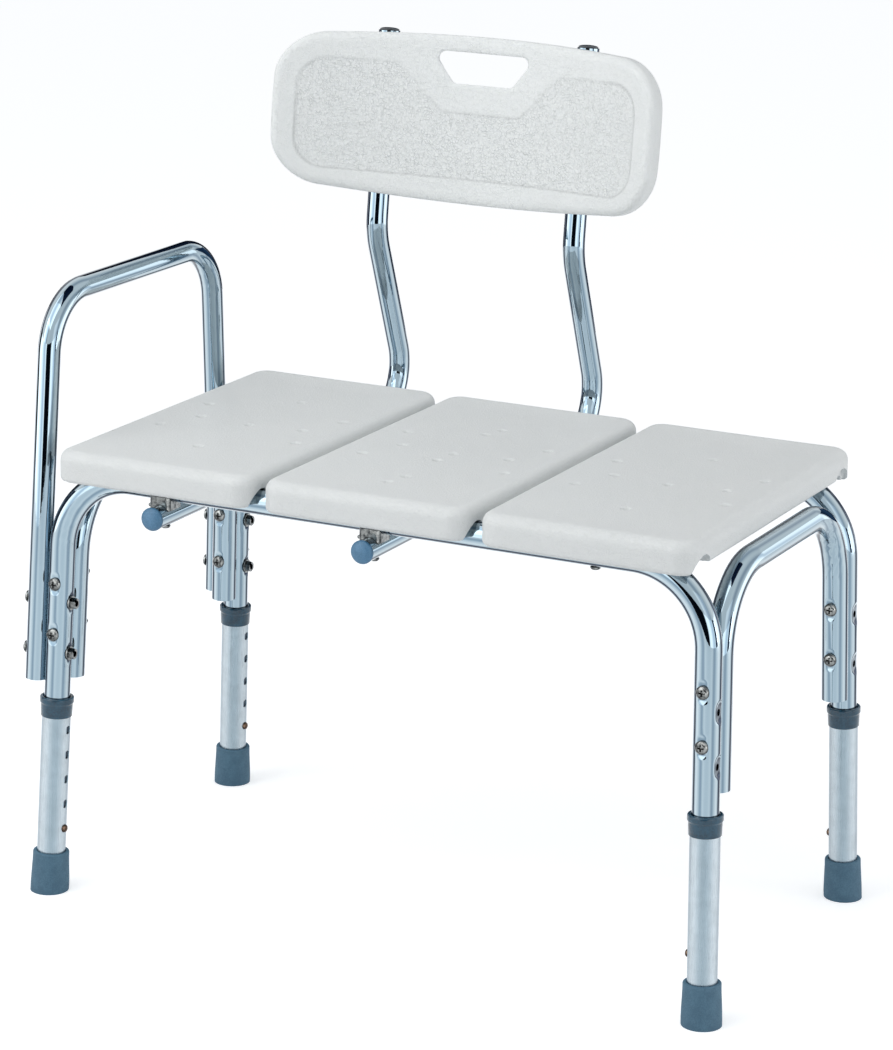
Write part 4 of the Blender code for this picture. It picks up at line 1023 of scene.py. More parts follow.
@dataclass(frozen=True)
class Layout:
    """Where the frame's centre lines lie, about the middle of the leg frame on the floor."""

    foot_x: float = 0.3485
    foot_y: float = 0.1830
    splay_x: float = math.radians(1.90)
    splay_y: float = math.radians(1.80)
    rail_height: float = 0.4253
    cross_height: float = 0.4120
    tube_end: float = 0.2150
    leg_end: float = 0.0460
    button_height: float = 0.0660
    button_hole: float = 0.0042
    tube_radius: float = 0.0127
    tube_wall: float = 0.0016
    slim_radius: float = 0.0111
    slim_wall: float = 0.0015
    gap: float = 0.0003
    panel_pitch: float = 0.2235
    panel_top: float = 0.4545
    bolt_spacing: float = 0.0508
    cross_bolt: dict = field(default_factory=lambda: {Row.FRONT: 0.3160, Row.REAR: 0.3085})
    arm_bolt: float = 0.2960
    flat_depth: float = 0.0010
    post_height: float = 0.3993
    post_front: float = -0.1930
    post_elbow: float = 0.3426
    post_lean: float = math.radians(22.6)
    post_knee: float = 0.5992
    recline: float = math.radians(6.5)
    post_top: float = 0.8057

    @property
    def rail_y(self) -> float:
        """How far a long rail stands from the middle."""
        return self.foot_y - math.tan(self.splay_y) * self.rail_height

    def leg(self, row: Row, side: Side, height: float) -> Vector:
        """A leg's centre line at a height."""
        x = self.foot_x - math.tan(self.splay_x) * height
        y = self.foot_y - math.tan(self.splay_y) * height
        return Vector((side.sign * x, row.sign * y, height))

    def cross(self, row: Row, side: Side, height: float) -> Vector:
        """The centre line of a cross frame's leg, inside the main leg."""
        return self.leg(row, side, height) + Vector((0, -row.sign * (2 * self.tube_radius + self.gap), 0))

    def arm(self, row: Row, height: float) -> Vector:
        """The centre line of the arm rail's lower stretch, outside the left legs."""
        offset = self.tube_radius + self.slim_radius + self.gap
        return self.leg(row, Side.LEFT, height) - Vector((offset, 0, 0))

    def leg_frame(self, row: Row, side: Side) -> Matrix:
        """A leg's own place: on the floor, Z up the leg and X towards the middle."""
        foot = self.leg(row, side, 0)
        up = (self.leg(row, side, self.rail_height) - foot).normalized()
        across = up.cross(Vector((-side.sign, 0, 0))).normalized()
        return Matrix.Translation(foot) @ Matrix((across.cross(up), across, up)).transposed().to_4x4()

    def cross_bolts(self, row: Row) -> Pair:
        """The heights of a leg's two cross bolts."""
        return self.cross_bolt[row], self.cross_bolt[row] - self.bolt_spacing

    def arm_bolts(self) -> Pair:
        """The heights of a leg's two arm bolts."""
        return self.arm_bolt, self.arm_bolt - self.bolt_spacing

    def post_x(self, side: Side) -> float:
        """Where a back post stands along X."""
        return -self.panel_pitch if side is Side.LEFT else 0.0

    def post_y(self, height: float) -> float:
        """How far back a post's upper stretch stands at a height."""
        knee_y = self.post_elbow - math.tan(self.post_lean) * (self.post_knee - self.post_height)
        return knee_y + math.tan(self.recline) * (height - self.post_knee)

    @property
    def post_up(self) -> Vector:
        """The direction of the posts' upper stretch."""
        return Vector((0, math.sin(self.recline), math.cos(self.recline)))

    @property
    def post_back(self) -> Vector:
        """The direction square to the backrest, pointing back."""
        return Vector((0, math.cos(self.recline), -math.sin(self.recline)))


LAYOUT = Layout()

# The dimples that only the middle panel has, from its own middle
MIDDLE_DIMPLES = ((-0.004, 0.070), (0.001, -0.045), (-0.003, -0.141))


@dataclass
class Seat:
    """A flat that is pressed into a tube for a fastener."""

    centre: Vector
    direction: Vector
    depth: float = 0.0010
    hole: float = 0.0


@dataclass
class BentTube:
    """A tube that is bent to a line and pressed flat where bolts sit."""

    corners: list[Vector]
    bends: list[float]
    radius: float
    wall: float
    seats: list[Seat] = field(default_factory=list)
    sides: int = 48
    bend_step: float = math.radians(4)
    seat_reach: float = 0.0125
    seat_width: float = 0.0098
    seat_step: float = 0.0014
    seat_edge: Pair = (0.62, 0.98)

    def line(self) -> list[Vector]:
        """The centre line, with its bends rounded and close points at its seats."""
        points = [self.corners[0]]
        turns = zip(self.corners, self.corners[1:], self.corners[2:], self.bends)
        for before, corner, after, radius in turns:
            arc = self.arc(corner, (before - corner).normalized(), (after - corner).normalized(), radius)
            points += self.straight(points[-1], arc[0]) + arc[1:]
        return points + self.straight(points[-1], self.corners[-1])

    def arc(self, corner: Vector, back: Vector, ahead: Vector, radius: float) -> list[Vector]:
        """The points of one bend.

        Args:
            corner: Where the two straight stretches would meet.
            back: The direction from the corner to the stretch before it.
            ahead: The direction from the corner to the stretch after it.
            radius: The bend's radius on the centre line.

        Returns:
            The points from the end of one stretch to the start of the next.
        """
        half = back.angle(ahead) / 2
        middle = corner + (back + ahead).normalized() * radius / math.sin(half)
        start = corner + back * radius / math.tan(half) - middle
        sweep = math.pi - 2 * half
        steps = max(2, math.ceil(sweep / self.bend_step))
        axis = back.cross(start)
        return [middle + Quaternion(axis, sweep * k / steps) @ start for k in range(steps + 1)]

    def straight(self, start: Vector, end: Vector) -> list[Vector]:
        """The points after the start of a straight stretch, close together beside its seats.

        Args:
            start: Where the stretch starts.
            end: Where it ends.

        Returns:
            The points, the end among them and the start not.
        """
        run = end - start
        along = run.normalized()
        marks = {run.length}
        count = round(2 * self.seat_reach / self.seat_step)
        for seat in self.seats:
            offset = seat.centre - start
            middle = offset.dot(along)
            if (offset - along * middle).length < self.radius:
                places = [middle + self.seat_reach * (2 * k / count - 1) for k in range(count + 1)]
                marks.update(p for p in places if self.seat_step < p < run.length - self.seat_step)
        return [start + along * mark for mark in sorted(marks)]

    def build(self, shop: Workshop) -> Mesh:
        """Sweep the tube, give it its wall and press its seats."""
        points = self.line()
        path = bpy.data.meshes.new("path")
        path.from_pydata([tuple(p) for p in points], [(k, k + 1) for k in range(len(points) - 1)], [])
        values = {"Radius": self.radius, "Sides": self.sides, "Material": shop.materials[CHROME]}
        mesh = shop.sweep.bake(path, values, wall=self.wall)
        self.press(mesh)
        holes = []
        for seat in self.seats:
            if seat.hole:
                hole = rod("hole", seat.hole, 2 * self.radius, 24)
                hole.transform(aim(seat.centre, seat.direction))
                holes.append(hole)
        mesh = cut(mesh, holes) if holes else mesh
        self.mark_along(mesh)
        return mesh

    def fit(self, shop: Workshop, node: str) -> None:
        """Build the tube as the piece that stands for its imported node."""
        shop.fit(node, "tube", self.build(shop), CHROME)

    def mark_along(self, mesh: Mesh) -> None:
        """Store the tube's direction at each vertex, which the chrome's streaks follow."""
        line = np.array([tuple(point) for point in self.line()])
        runs = np.diff(line, axis=0)
        lengths = np.linalg.norm(runs, axis=1)
        ways = runs / lengths[:, None]
        away = places_of(mesh)[:, None, :] - line[:-1]
        far = np.einsum("psc,sc->ps", away, ways)
        beside = away - np.clip(far, 0, lengths)[:, :, None] * ways
        nearest = np.einsum("psc,psc->ps", beside, beside).argmin(axis=1)
        along = mesh.attributes.new("along", "FLOAT_VECTOR", "POINT")
        along.data.foreach_set("vector", ways[nearest].ravel())

    def press(self, mesh: Mesh) -> None:
        """Flatten both walls of the tube at each seat, with a soft edge."""
        points = places_of(mesh)
        line = self.line()
        for seat in self.seats:
            spans = zip(line, line[1:])
            start, end = min(spans, key=lambda span: ((span[0] + span[1]) / 2 - seat.centre).length)
            along = (end - start).normalized()
            out = (seat.direction - along * seat.direction.dot(along)).normalized()
            beside = np.array(along.cross(out))
            away = points - np.array(seat.centre)
            s, h, w = away @ np.array(along), away @ np.array(out), away @ beside
            reach = np.sqrt((s / self.seat_reach) ** 2 + (w / self.seat_width) ** 2)
            skin = np.sqrt(np.maximum(self.radius ** 2 - w ** 2, 0))
            flat = 1 - ease(reach, *self.seat_edge)
            drop = flat * np.maximum(skin - (self.radius - seat.depth), 0)
            drop[(h < 0) | (np.hypot(h, w) > 1.1 * self.radius)] = 0
            points -= drop[:, None] * np.array(out)
        mesh.vertices.foreach_set("co", points.ravel())
        mesh.update()


@dataclass
class LongFrame:
    """The front or rear frame: one rail and its two legs, bent from one tube."""

    row: Row
    bend: float = 0.0762
    spare_seat: Pair = (0.0022, 0.0034)

    def build(self, shop: Workshop) -> None:
        """Make the frame with its pressed bolt seats."""
        low, high = LAYOUT.leg_end, LAYOUT.rail_height
        ends = ((Side.LEFT, low), (Side.LEFT, high), (Side.RIGHT, high), (Side.RIGHT, low))
        corners = [LAYOUT.leg(self.row, side, height) for side, height in ends]
        seats = []
        for side in Side:
            for height in LAYOUT.cross_bolts(self.row):
                seats.append(Seat(LAYOUT.leg(self.row, side, height), Vector((0, self.row.sign, 0))))
            spare = self.spare_seat if side is Side.RIGHT else (LAYOUT.flat_depth, 0.0)
            for height in LAYOUT.arm_bolts():
                seats.append(Seat(LAYOUT.leg(self.row, side, height), Vector((1, 0, 0)), *spare))
            place = LAYOUT.leg_frame(self.row, side)
            button = place @ Vector((0, 0, LAYOUT.button_height))
            seats.append(Seat(button, place.col[0].xyz, 0.0, LAYOUT.button_hole))
        tube = BentTube(corners, [self.bend] * 2, LAYOUT.tube_radius, LAYOUT.tube_wall, seats)
        tube.fit(shop, self.row.value + "_rail_frame")


@dataclass
class CrossFrame:
    """The left or right frame that joins the long frames under the seat's end."""

    side: Side
    bend: float = 0.0762

    def build(self, shop: Workshop) -> None:
        """Make the frame with its pressed bolt seats."""
        low, high = LAYOUT.tube_end, LAYOUT.cross_height
        ends = ((Row.FRONT, low), (Row.FRONT, high), (Row.REAR, high), (Row.REAR, low))
        corners = [LAYOUT.cross(row, self.side, height) for row, height in ends]
        seats = [
            Seat(LAYOUT.cross(row, self.side, height), Vector((0, -row.sign, 0)))
            for row in Row for height in LAYOUT.cross_bolts(row)
        ]
        tube = BentTube(corners, [self.bend] * 2, LAYOUT.tube_radius, LAYOUT.tube_wall, seats)
        tube.fit(shop, self.side.value + "_cross_frame")


@dataclass
class ArmRail:
    """The arm rail: one bent tube that is bolted outside the two left legs."""

    top: float = 0.5912
    knee: float = 0.3300
    knee_bend: float = 0.1500
    lean_x: float = math.radians(0.48)
    lean_y: float = math.radians(4.40)
    top_bend: float = 0.0600

    def build(self, shop: Workshop) -> None:
        """Make the rail with its pressed bolt seats."""
        corners: list[Vector] = []
        for row in Row:
            knee = LAYOUT.arm(row, self.knee)
            lean = Vector((math.tan(self.lean_x), -row.sign * math.tan(self.lean_y), 1))
            run = [LAYOUT.arm(row, LAYOUT.tube_end), knee, knee + lean * (self.top - self.knee)]
            corners += run if row is Row.FRONT else run[::-1]
        left = Vector((-1, 0, 0))
        seats = [Seat(LAYOUT.arm(row, height), left) for row in Row for height in LAYOUT.arm_bolts()]
        bends = [self.knee_bend, self.top_bend, self.top_bend, self.knee_bend]
        BentTube(corners, bends, LAYOUT.slim_radius, LAYOUT.slim_wall, seats).fit(shop, "arm_rail")


@dataclass
class BackPost:
    """A back post with its two end caps and its two saddles under the rails."""

    side: Side
    elbow_bend: float = 0.0500
    knee_bend: float = 0.0700
    front_cap: Pair = (0.0113, 0.0060)
    top_cap: Pair = (0.0100, 0.0028)
    cap_stem: float = 0.0140
    rim_share: float = 0.22
    crown_steps: int = 10
    saddle: Triple = (0.0220, 0.0240, 0.0130)
    saddle_corner: float = 0.0035
    lip_radius: float = 0.0018
    lip_length: float = 0.0180

    def build(self, shop: Workshop) -> None:
        """Make the post and what is fitted to it."""
        line = [(LAYOUT.post_front, LAYOUT.post_height), (LAYOUT.post_elbow, LAYOUT.post_height)]
        line += [(LAYOUT.post_y(height), height) for height in (LAYOUT.post_knee, LAYOUT.post_top)]
        corners = [Vector((LAYOUT.post_x(self.side), y, height)) for y, height in line]
        tube = BentTube(corners, [self.elbow_bend, self.knee_bend], LAYOUT.slim_radius, LAYOUT.slim_wall)
        tube.fit(shop, "back_post_" + self.side.value)
        self.cap(shop, "post_front_cap_", self.front_cap, CAP_PLASTIC, aim(corners[0], Vector((0, -1, 0))))
        self.cap(shop, "post_top_cap_", self.top_cap, DARK_PLASTIC, aim(corners[-1], LAYOUT.post_up))
        for row in Row:
            self.saddle_washer(shop, row)

    def cap(self, shop: Workshop, stem_name: str, size: Pair, finish: Finish, place: Matrix) -> None:
        """Make a domed plug in an end of the post.

        Args:
            shop: Where pieces are made.
            stem_name: The node's name without its side.
            size: The head's radius and the height of its dome.
            finish: What the cap is made of.
            place: The post's end, with Z pointing out of it.
        """
        radius, dome = size
        plug = LAYOUT.slim_radius - LAYOUT.slim_wall - 2 * LAYOUT.gap
        angles = [math.pi / 2 * k / self.crown_steps for k in range(self.crown_steps)]
        rim = dome * self.rim_share
        profile = [(0.0, -self.cap_stem), (plug * 0.92, -self.cap_stem), (plug, -self.cap_stem * 0.85)]
        profile += [(plug, LAYOUT.gap), (radius - rim * 0.4, LAYOUT.gap), (radius, LAYOUT.gap + rim * 0.4)]
        crown = [(radius * math.cos(a) ** 0.9, LAYOUT.gap + rim + (dome - rim) * math.sin(a)) for a in angles]
        mesh = lathe("plug", [*profile, *crown, (0.0, LAYOUT.gap + dome)], 48)
        mesh.transform(place)
        shop.fit(stem_name + self.side.value, "plug", mesh, finish)

    def saddle_washer(self, shop: Workshop, row: Row) -> None:
        """Make the pressed saddle between this post and a rail, with its rolled lip."""
        x, y = LAYOUT.post_x(self.side), row.sign * LAYOUT.rail_y
        width, _, height = self.saddle
        under = LAYOUT.rail_height - LAYOUT.tube_radius
        over = LAYOUT.post_height + LAYOUT.slim_radius
        middle = Vector((x, y, (under + over) / 2))
        work = bmesh.new()
        size = Matrix.Diagonal((*self.saddle, 1))
        bmesh.ops.create_cube(work, size=1.0, matrix=Matrix.Translation(middle) @ size)
        upright = [e for e in work.edges if abs(e.verts[0].co.z - e.verts[1].co.z) > height / 2]
        bmesh.ops.bevel(
            work, geom=upright, offset=self.saddle_corner, segments=5, profile=0.5, affect="EDGES",
        )
        block = bpy.data.meshes.new("saddle")
        work.to_mesh(block)
        work.free()
        reach = 2 * width
        rail = rod("rail_space", LAYOUT.tube_radius + LAYOUT.gap, 2 * reach)
        rail.transform(aim(Vector((x - reach, y, LAYOUT.rail_height)), Vector((1, 0, 0))))
        post = rod("post_space", LAYOUT.slim_radius + LAYOUT.gap, 2 * reach)
        post.transform(aim(Vector((x, y - reach, LAYOUT.post_height)), Vector((0, 1, 0))))
        mesh = cut(block, [rail, post])
        radius, length = self.lip_radius, self.lip_length
        ends = [(0, 0), (radius, 0), (radius, length), (0, length)]
        lip = lathe("lip", rounded_profile(ends, [0, radius / 2, radius / 2, 0]), 24)
        edge_x = x - width / 2 - radius / 2
        lip.transform(aim(Vector((edge_x, y - length / 2, middle.z - height / 4)), Vector((0, 1, 0))))
        mesh = cut(mesh, [lip], "UNION")
        shop.fit(f"post_saddle_{row.value}_{self.side.value}", "pressing", mesh, ZINC)


@dataclass
class Leg:
    """A height-adjustable leg end: perforated sleeve, collar, rubber tip and snap button."""

    row: Row
    side: Side
    sleeve_radius: float = 0.0140
    sleeve_floor: float = 0.0055
    sleeve_top: float = 0.1925
    hole_pitch: float = 0.0254
    hole_count: int = 5
    button_radius: float = 0.0038
    button_proud: float = 0.0030
    button_back: float = 0.0095
    button_dome: float = 0.62
    collar_bottom: float = 0.1805
    collar_top: float = 0.2005
    collar_radii: Pair = (0.0152, 0.0166)
    tip_height: float = 0.0410
    tip_radii: Pair = (0.0190, 0.0178)
    tip_rim: float = 0.0020
    leaf: float = 0.0008
    leaf_width: float = 0.0070
    leaf_near: float = 0.0088
    leaf_far: float = -0.0096
    leaf_fold: float = -0.0144
    leaf_tail: float = 0.0176
    press: float = 0.0042

    @property
    def corner(self) -> str:
        """The corner's name in piece and body names."""
        return f"{self.row.value}_{self.side.value}"

    @property
    def body(self) -> str:
        """The body that slides on the leg tube."""
        return "leg_" + self.corner

    def build(self, shop: Workshop) -> None:
        """Make the pieces of this corner."""
        place = LAYOUT.leg_frame(self.row, self.side)
        self.sleeve(shop, place)
        self.collar(shop, place)
        self.tip(shop, place)
        self.button(shop, place)
        self.spring(shop, place)

    def sleeve(self, shop: Workshop, place: Matrix) -> None:
        """Make the outer tube with its row of height holes."""
        length = self.sleeve_top - self.sleeve_floor
        start = bpy.data.meshes.new("sleeve")
        start.from_pydata([(0, 0, 0)], [], [])
        mesh = shop.sleeve.bake(start, {
            "Radius": self.sleeve_radius, "Bore": LAYOUT.tube_radius + LAYOUT.gap, "Length": length,
            "Middle": (0.0, 0.0, self.sleeve_floor + length / 2), "Hole Radius": LAYOUT.button_hole,
            "First Hole": (self.sleeve_radius, 0.0, LAYOUT.button_height),
            "Pitch": (0.0, 0.0, self.hole_pitch), "Count": self.hole_count, "Sides": 72,
            "Material": shop.materials[ALUMINIUM],
        })
        mesh.transform(place)
        shop.fit("leg_extension_" + self.corner, "sleeve", mesh, ALUMINIUM, self.body)

    def collar(self, shop: Workshop, place: Matrix) -> None:
        """Make the guide collar: a tapered ring with a bead round its mouth."""
        low, high = self.collar_radii
        wide = self.sleeve_radius + LAYOUT.gap
        narrow = LAYOUT.tube_radius + LAYOUT.gap
        ledge = self.sleeve_top + LAYOUT.gap
        height = self.collar_top - self.collar_bottom
        corners = [
            (wide, ledge), (wide, self.collar_bottom), (low, self.collar_bottom),
            (high - 0.0009, self.collar_top - height * 0.36), (high, self.collar_top - height * 0.28),
            (high, self.collar_top), (narrow, self.collar_top), (narrow, ledge),
        ]
        radii = [0, 0.0002, 0.0005, 0.0020, 0.0012, 0.0014, 0.0012, 0.0002]
        mesh = lathe("collar", rounded_profile(corners, radii), 72)
        mesh.transform(place)
        shop.fit("leg_collar_" + self.corner, "ring", mesh, COLLAR_PLASTIC, self.body)

    def tip(self, shop: Workshop, place: Matrix) -> None:
        """Make the rubber tip, cut level where it meets the floor."""
        base, shoulder = self.tip_radii
        wide = self.sleeve_radius + LAYOUT.gap
        depth = self.sleeve_floor - LAYOUT.gap
        foot = -2 * self.tip_rim
        corners = [
            (0, depth), (wide, depth), (wide, self.tip_height), (shoulder, self.tip_height),
            (shoulder + 0.0001, self.tip_height - 0.008), (base - 0.0002, self.tip_height * 0.34),
            (base, self.tip_height * 0.16), (base, foot), (0, foot),
        ]
        radii = [0, 0.0005, 0.0004, 0.0016, 0.006, 0.006, 0.004, 0.0006, 0]
        mesh = lathe("tip", rounded_profile(corners, radii), 72)
        mesh.transform(place)
        for vertex in mesh.vertices:
            vertex.co.z = max(vertex.co.z, 0.0)
        shop.fit("foot_tip_" + self.corner, "rubber", mesh, RUBBER, self.body)

    def button(self, shop: Workshop, place: Matrix) -> None:
        """Make the domed snap button, which comes out through the leg tube and the sleeve."""
        out = self.sleeve_radius + self.button_proud
        radius, back, steps = self.button_radius, self.button_back, 8
        start = out - radius * self.button_dome
        angles = [math.pi / 2 * k / steps for k in range(steps)]
        dome = [(radius * math.cos(a), start + (out - start) * math.sin(a)) for a in angles]
        mesh = lathe("button", [(0, back), (radius, back), *dome, (0, out)], 40)
        mesh.transform(place @ aim(Vector((0, 0, LAYOUT.button_height)), Vector((1, 0, 0))))
        shop.fit("snap_button_" + self.corner, "pin", mesh, BRASS, "button_" + self.corner)

    def spring(self, shop: Workshop, place: Matrix) -> None:
        """Make the folded leaf spring behind the button."""
        near, far, fold = self.leaf_near, self.leaf_far, self.leaf_fold
        corners = [
            (near, self.button_radius), (near, -self.button_radius), (near * 0.5, fold), (far * 0.6, fold),
            (far, fold * 0.6), (far, self.leaf_tail),
        ]
        line = [Vector(point) for point in rounded_profile(corners, [0, 0.0020, 0.0030, 0.0030, 0.0020, 0])]
        half = self.leaf_width / 2
        points = []
        for back, here, ahead in zip([line[0], *line], line, [*line[1:], line[-1]]):
            skin = (ahead - back).orthogonal().normalized() * self.leaf / 2
            for across, turn in ((-half, -1), (half, -1), (half, 1), (-half, 1)):
                points.append((here.x + skin.x * turn, across, here.y + skin.y * turn))
        last = len(points) - 4
        faces = []
        for i in range(0, last, 4):
            faces += [(i + k, i + (k + 1) % 4, i + 4 + (k + 1) % 4, i + 4 + k) for k in range(4)]
        mesh = mesh_of("leaf", points, [*faces, (3, 2, 1, 0), (last, last + 1, last + 2, last + 3)])
        mesh.transform(place @ Matrix.Translation((0, 0, LAYOUT.button_height)))
        item = shop.fit("snap_spring_" + self.corner, "leaf", mesh, ZINC)
        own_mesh(item)


@dataclass
class SeatPanel:
    """One blow-moulded seat panel: rounded top edge, drain dimples, channels and arches beneath."""

    name: str
    x: float
    extra_dimples: tuple[Pair, ...] = ()
    width: float = 0.2125
    depth: float = 0.4050
    set_back: float = 0.0020
    thickness: float = 0.0310
    side_rise: float = 0.0050
    corner: float = 0.0200
    top_round: float = 0.0110
    bottom_round: float = 0.0040
    lip: float = 0.0165
    arch_radius: float = 0.0190
    arch_depth: float = 0.0070
    arch_offset: float = 0.0040
    dimple_radius: float = 0.0060
    dimple_depth: float = 0.0019
    dimple_shift: Pair = (0.0030, -0.0110)
    dish_rear: float = 0.0025
    dish_front: float = 0.0006
    dish_run: float = 0.0450
    grid: float = 0.0050
    fine_grid: float = 0.0011
    grain: float = 0.40
    # Painted shade in the dimples: how much darker their colour is, and its reach in dimple radii.
    dimple_painted_shade: float = 0.16
    dimple_shade_reach: Pair = (0.2, 0.9)

    def dimples(self) -> list[Pair]:
        """The drain dimples, from the panel's middle."""
        shift_x, shift_y = self.dimple_shift
        places = [(0.0, -0.1040), (0.0, -0.0050), (0.0, 0.1040), (-0.0570, 0.0), (0.0570, 0.0)]
        places += [(x, y) for x in (-0.0755, 0.0755) for y in (-0.0485, 0.0485)]
        return [(x + shift_x, y + shift_y) for x, y in places] + list(self.extra_dimples)

    def rails(self) -> list[float]:
        """Where the two rails run under the panel, from its middle."""
        return [row.sign * LAYOUT.rail_y - self.set_back for row in Row]

    def plate(self) -> Plate:
        """The panel's grid, close at its edges, channels, arches and dimples."""
        half_x, half_y = self.width / 2, self.depth / 2
        reach = self.dimple_radius
        spans_x = edge_lines(-half_x, half_x, self.top_round)
        spans_y = edge_lines(-half_y, half_y, self.top_round)
        for x, y in self.dimples():
            spans_x.append((x - reach, x + reach, self.fine_grid))
            spans_y.append((y - reach, y + reach, self.fine_grid))
        for end in (-1, 1):
            inner = end * (half_x - self.arch_depth)
            spans_x.append((inner - 0.0004, inner + 0.0004, 0.0004))
            rise = end * (half_y - self.lip)
            spans_y.append((rise - 0.0012, rise + 0.0012, 0.0006))
        for y in self.rails():
            end = y + self.arch_radius + 2 * self.arch_offset
            spans_y.append((y - self.arch_radius, end, self.fine_grid))
        us = grid_lines(-half_x, half_x, spans_x, self.grid)
        vs = grid_lines(-half_y, half_y, spans_y, self.grid)
        return Plate(us, vs, self.corner, wall_rings=6)

    def edge_distance(self, points: Array) -> Array:
        """How far points lie inside the panel's rounded outline."""
        q = np.abs(points) - np.array([self.width / 2 - self.corner, self.depth / 2 - self.corner])
        outside = np.linalg.norm(np.maximum(q, 0), axis=1)
        return self.corner - outside - np.minimum(q.max(1), 0)

    def top(self, points: Array) -> Array:
        """The upper skin: a rounded edge and a shallow dish that deepens to the rear."""
        share = points[:, 1] / self.depth + 0.5
        dish = self.dish_front + (self.dish_rear - self.dish_front) * share
        bowl = np.clip(1 - (2 * points[:, 0] / (self.width - self.top_round)) ** 2, 0, 1)
        bowl *= ease(self.depth / 2 - np.abs(points[:, 1]), 0.0, self.dish_run)
        return LAYOUT.panel_top - quarter(self.edge_distance(points), self.top_round) - dish * bowl

    def underside(self, points: Array) -> Array:
        """The lower skin: lips at the front and rear, rail channels and the arches at both ends."""
        x, y = points[:, 0], points[:, 1]
        bottom = LAYOUT.panel_top - self.thickness
        inside = ease(self.depth / 2 - self.lip - np.abs(y), -0.0010, 0.0010)
        height = bottom + quarter(self.edge_distance(points), self.bottom_round) + self.side_rise * inside
        bore = LAYOUT.tube_radius + LAYOUT.gap
        arch_height = LAYOUT.rail_height + LAYOUT.tube_radius + 5 * LAYOUT.gap - self.arch_radius
        inner = self.width / 2 - self.arch_depth
        at_end = ease(np.abs(x), inner - 0.0003, inner + 0.0003)
        for rail in self.rails():
            off = np.abs(y - rail)
            channel = LAYOUT.rail_height + np.sqrt(np.maximum(bore ** 2 - off ** 2, 0))
            height = np.where(off < bore, np.maximum(height, channel), height)
            off = np.abs(y - rail - math.copysign(self.arch_offset, rail))
            arch = arch_height + np.sqrt(np.maximum(self.arch_radius ** 2 - off ** 2, 0))
            rise = np.where(off < self.arch_radius, np.maximum(arch - height, 0), 0)
            height = height + rise * at_end
        return height

    def painted_shade_share(self, point: Vector) -> float:
        """How much painted shade a dimple gets at a point: all of it near its middle."""
        if point.z < LAYOUT.panel_top - self.top_round:
            return 0.0
        away = min(math.hypot(point.x - self.x - x, point.y - self.set_back - y) for x, y in self.dimples())
        near, far = self.dimple_shade_reach
        return float(1 - ease(away, near * self.dimple_radius, far * self.dimple_radius))

    def build(self, shop: Workshop) -> None:
        """Make the panel and press its dimples."""
        plate = self.plate()
        points, faces = plate.skins(plate.plan(), self.top, self.underside)
        mesh = mesh_of("panel", points, faces)
        marks = bpy.data.meshes.new("dimple_places")
        marks.from_pydata([(x, y, LAYOUT.panel_top) for x, y in self.dimples()], [], [])
        holder = linked("dimple_places", marks)
        mesh = shop.dimples.bake(mesh, {
            "Places": holder, "Radius": self.dimple_radius, "Depth": self.dimple_depth,
            "Material": shop.materials[SEAT_PLASTIC],
        })
        bpy.data.objects.remove(holder)
        mesh.transform(Matrix.Translation((self.x, self.set_back, 0)))
        set_share(mesh, "grain", [self.grain] * len(mesh.vertices))
        # Painted shade: the tone is lower in and around each dimple.
        set_share(mesh, "tone", [1 - self.dimple_painted_shade * self.painted_shade_share(vertex.co) for vertex in mesh.vertices])
        shop.fit("seat_panel_" + self.name, "shell", mesh, SEAT_PLASTIC, sharp_degrees=50.0)


def set_share(mesh: Mesh, name: str, values: Sequence[float]) -> None:
    """Store a share for each vertex, which the plastic's material reads by its name."""
    mesh.attributes.new(name, "FLOAT", "POINT").data.foreach_set("value", list(values))


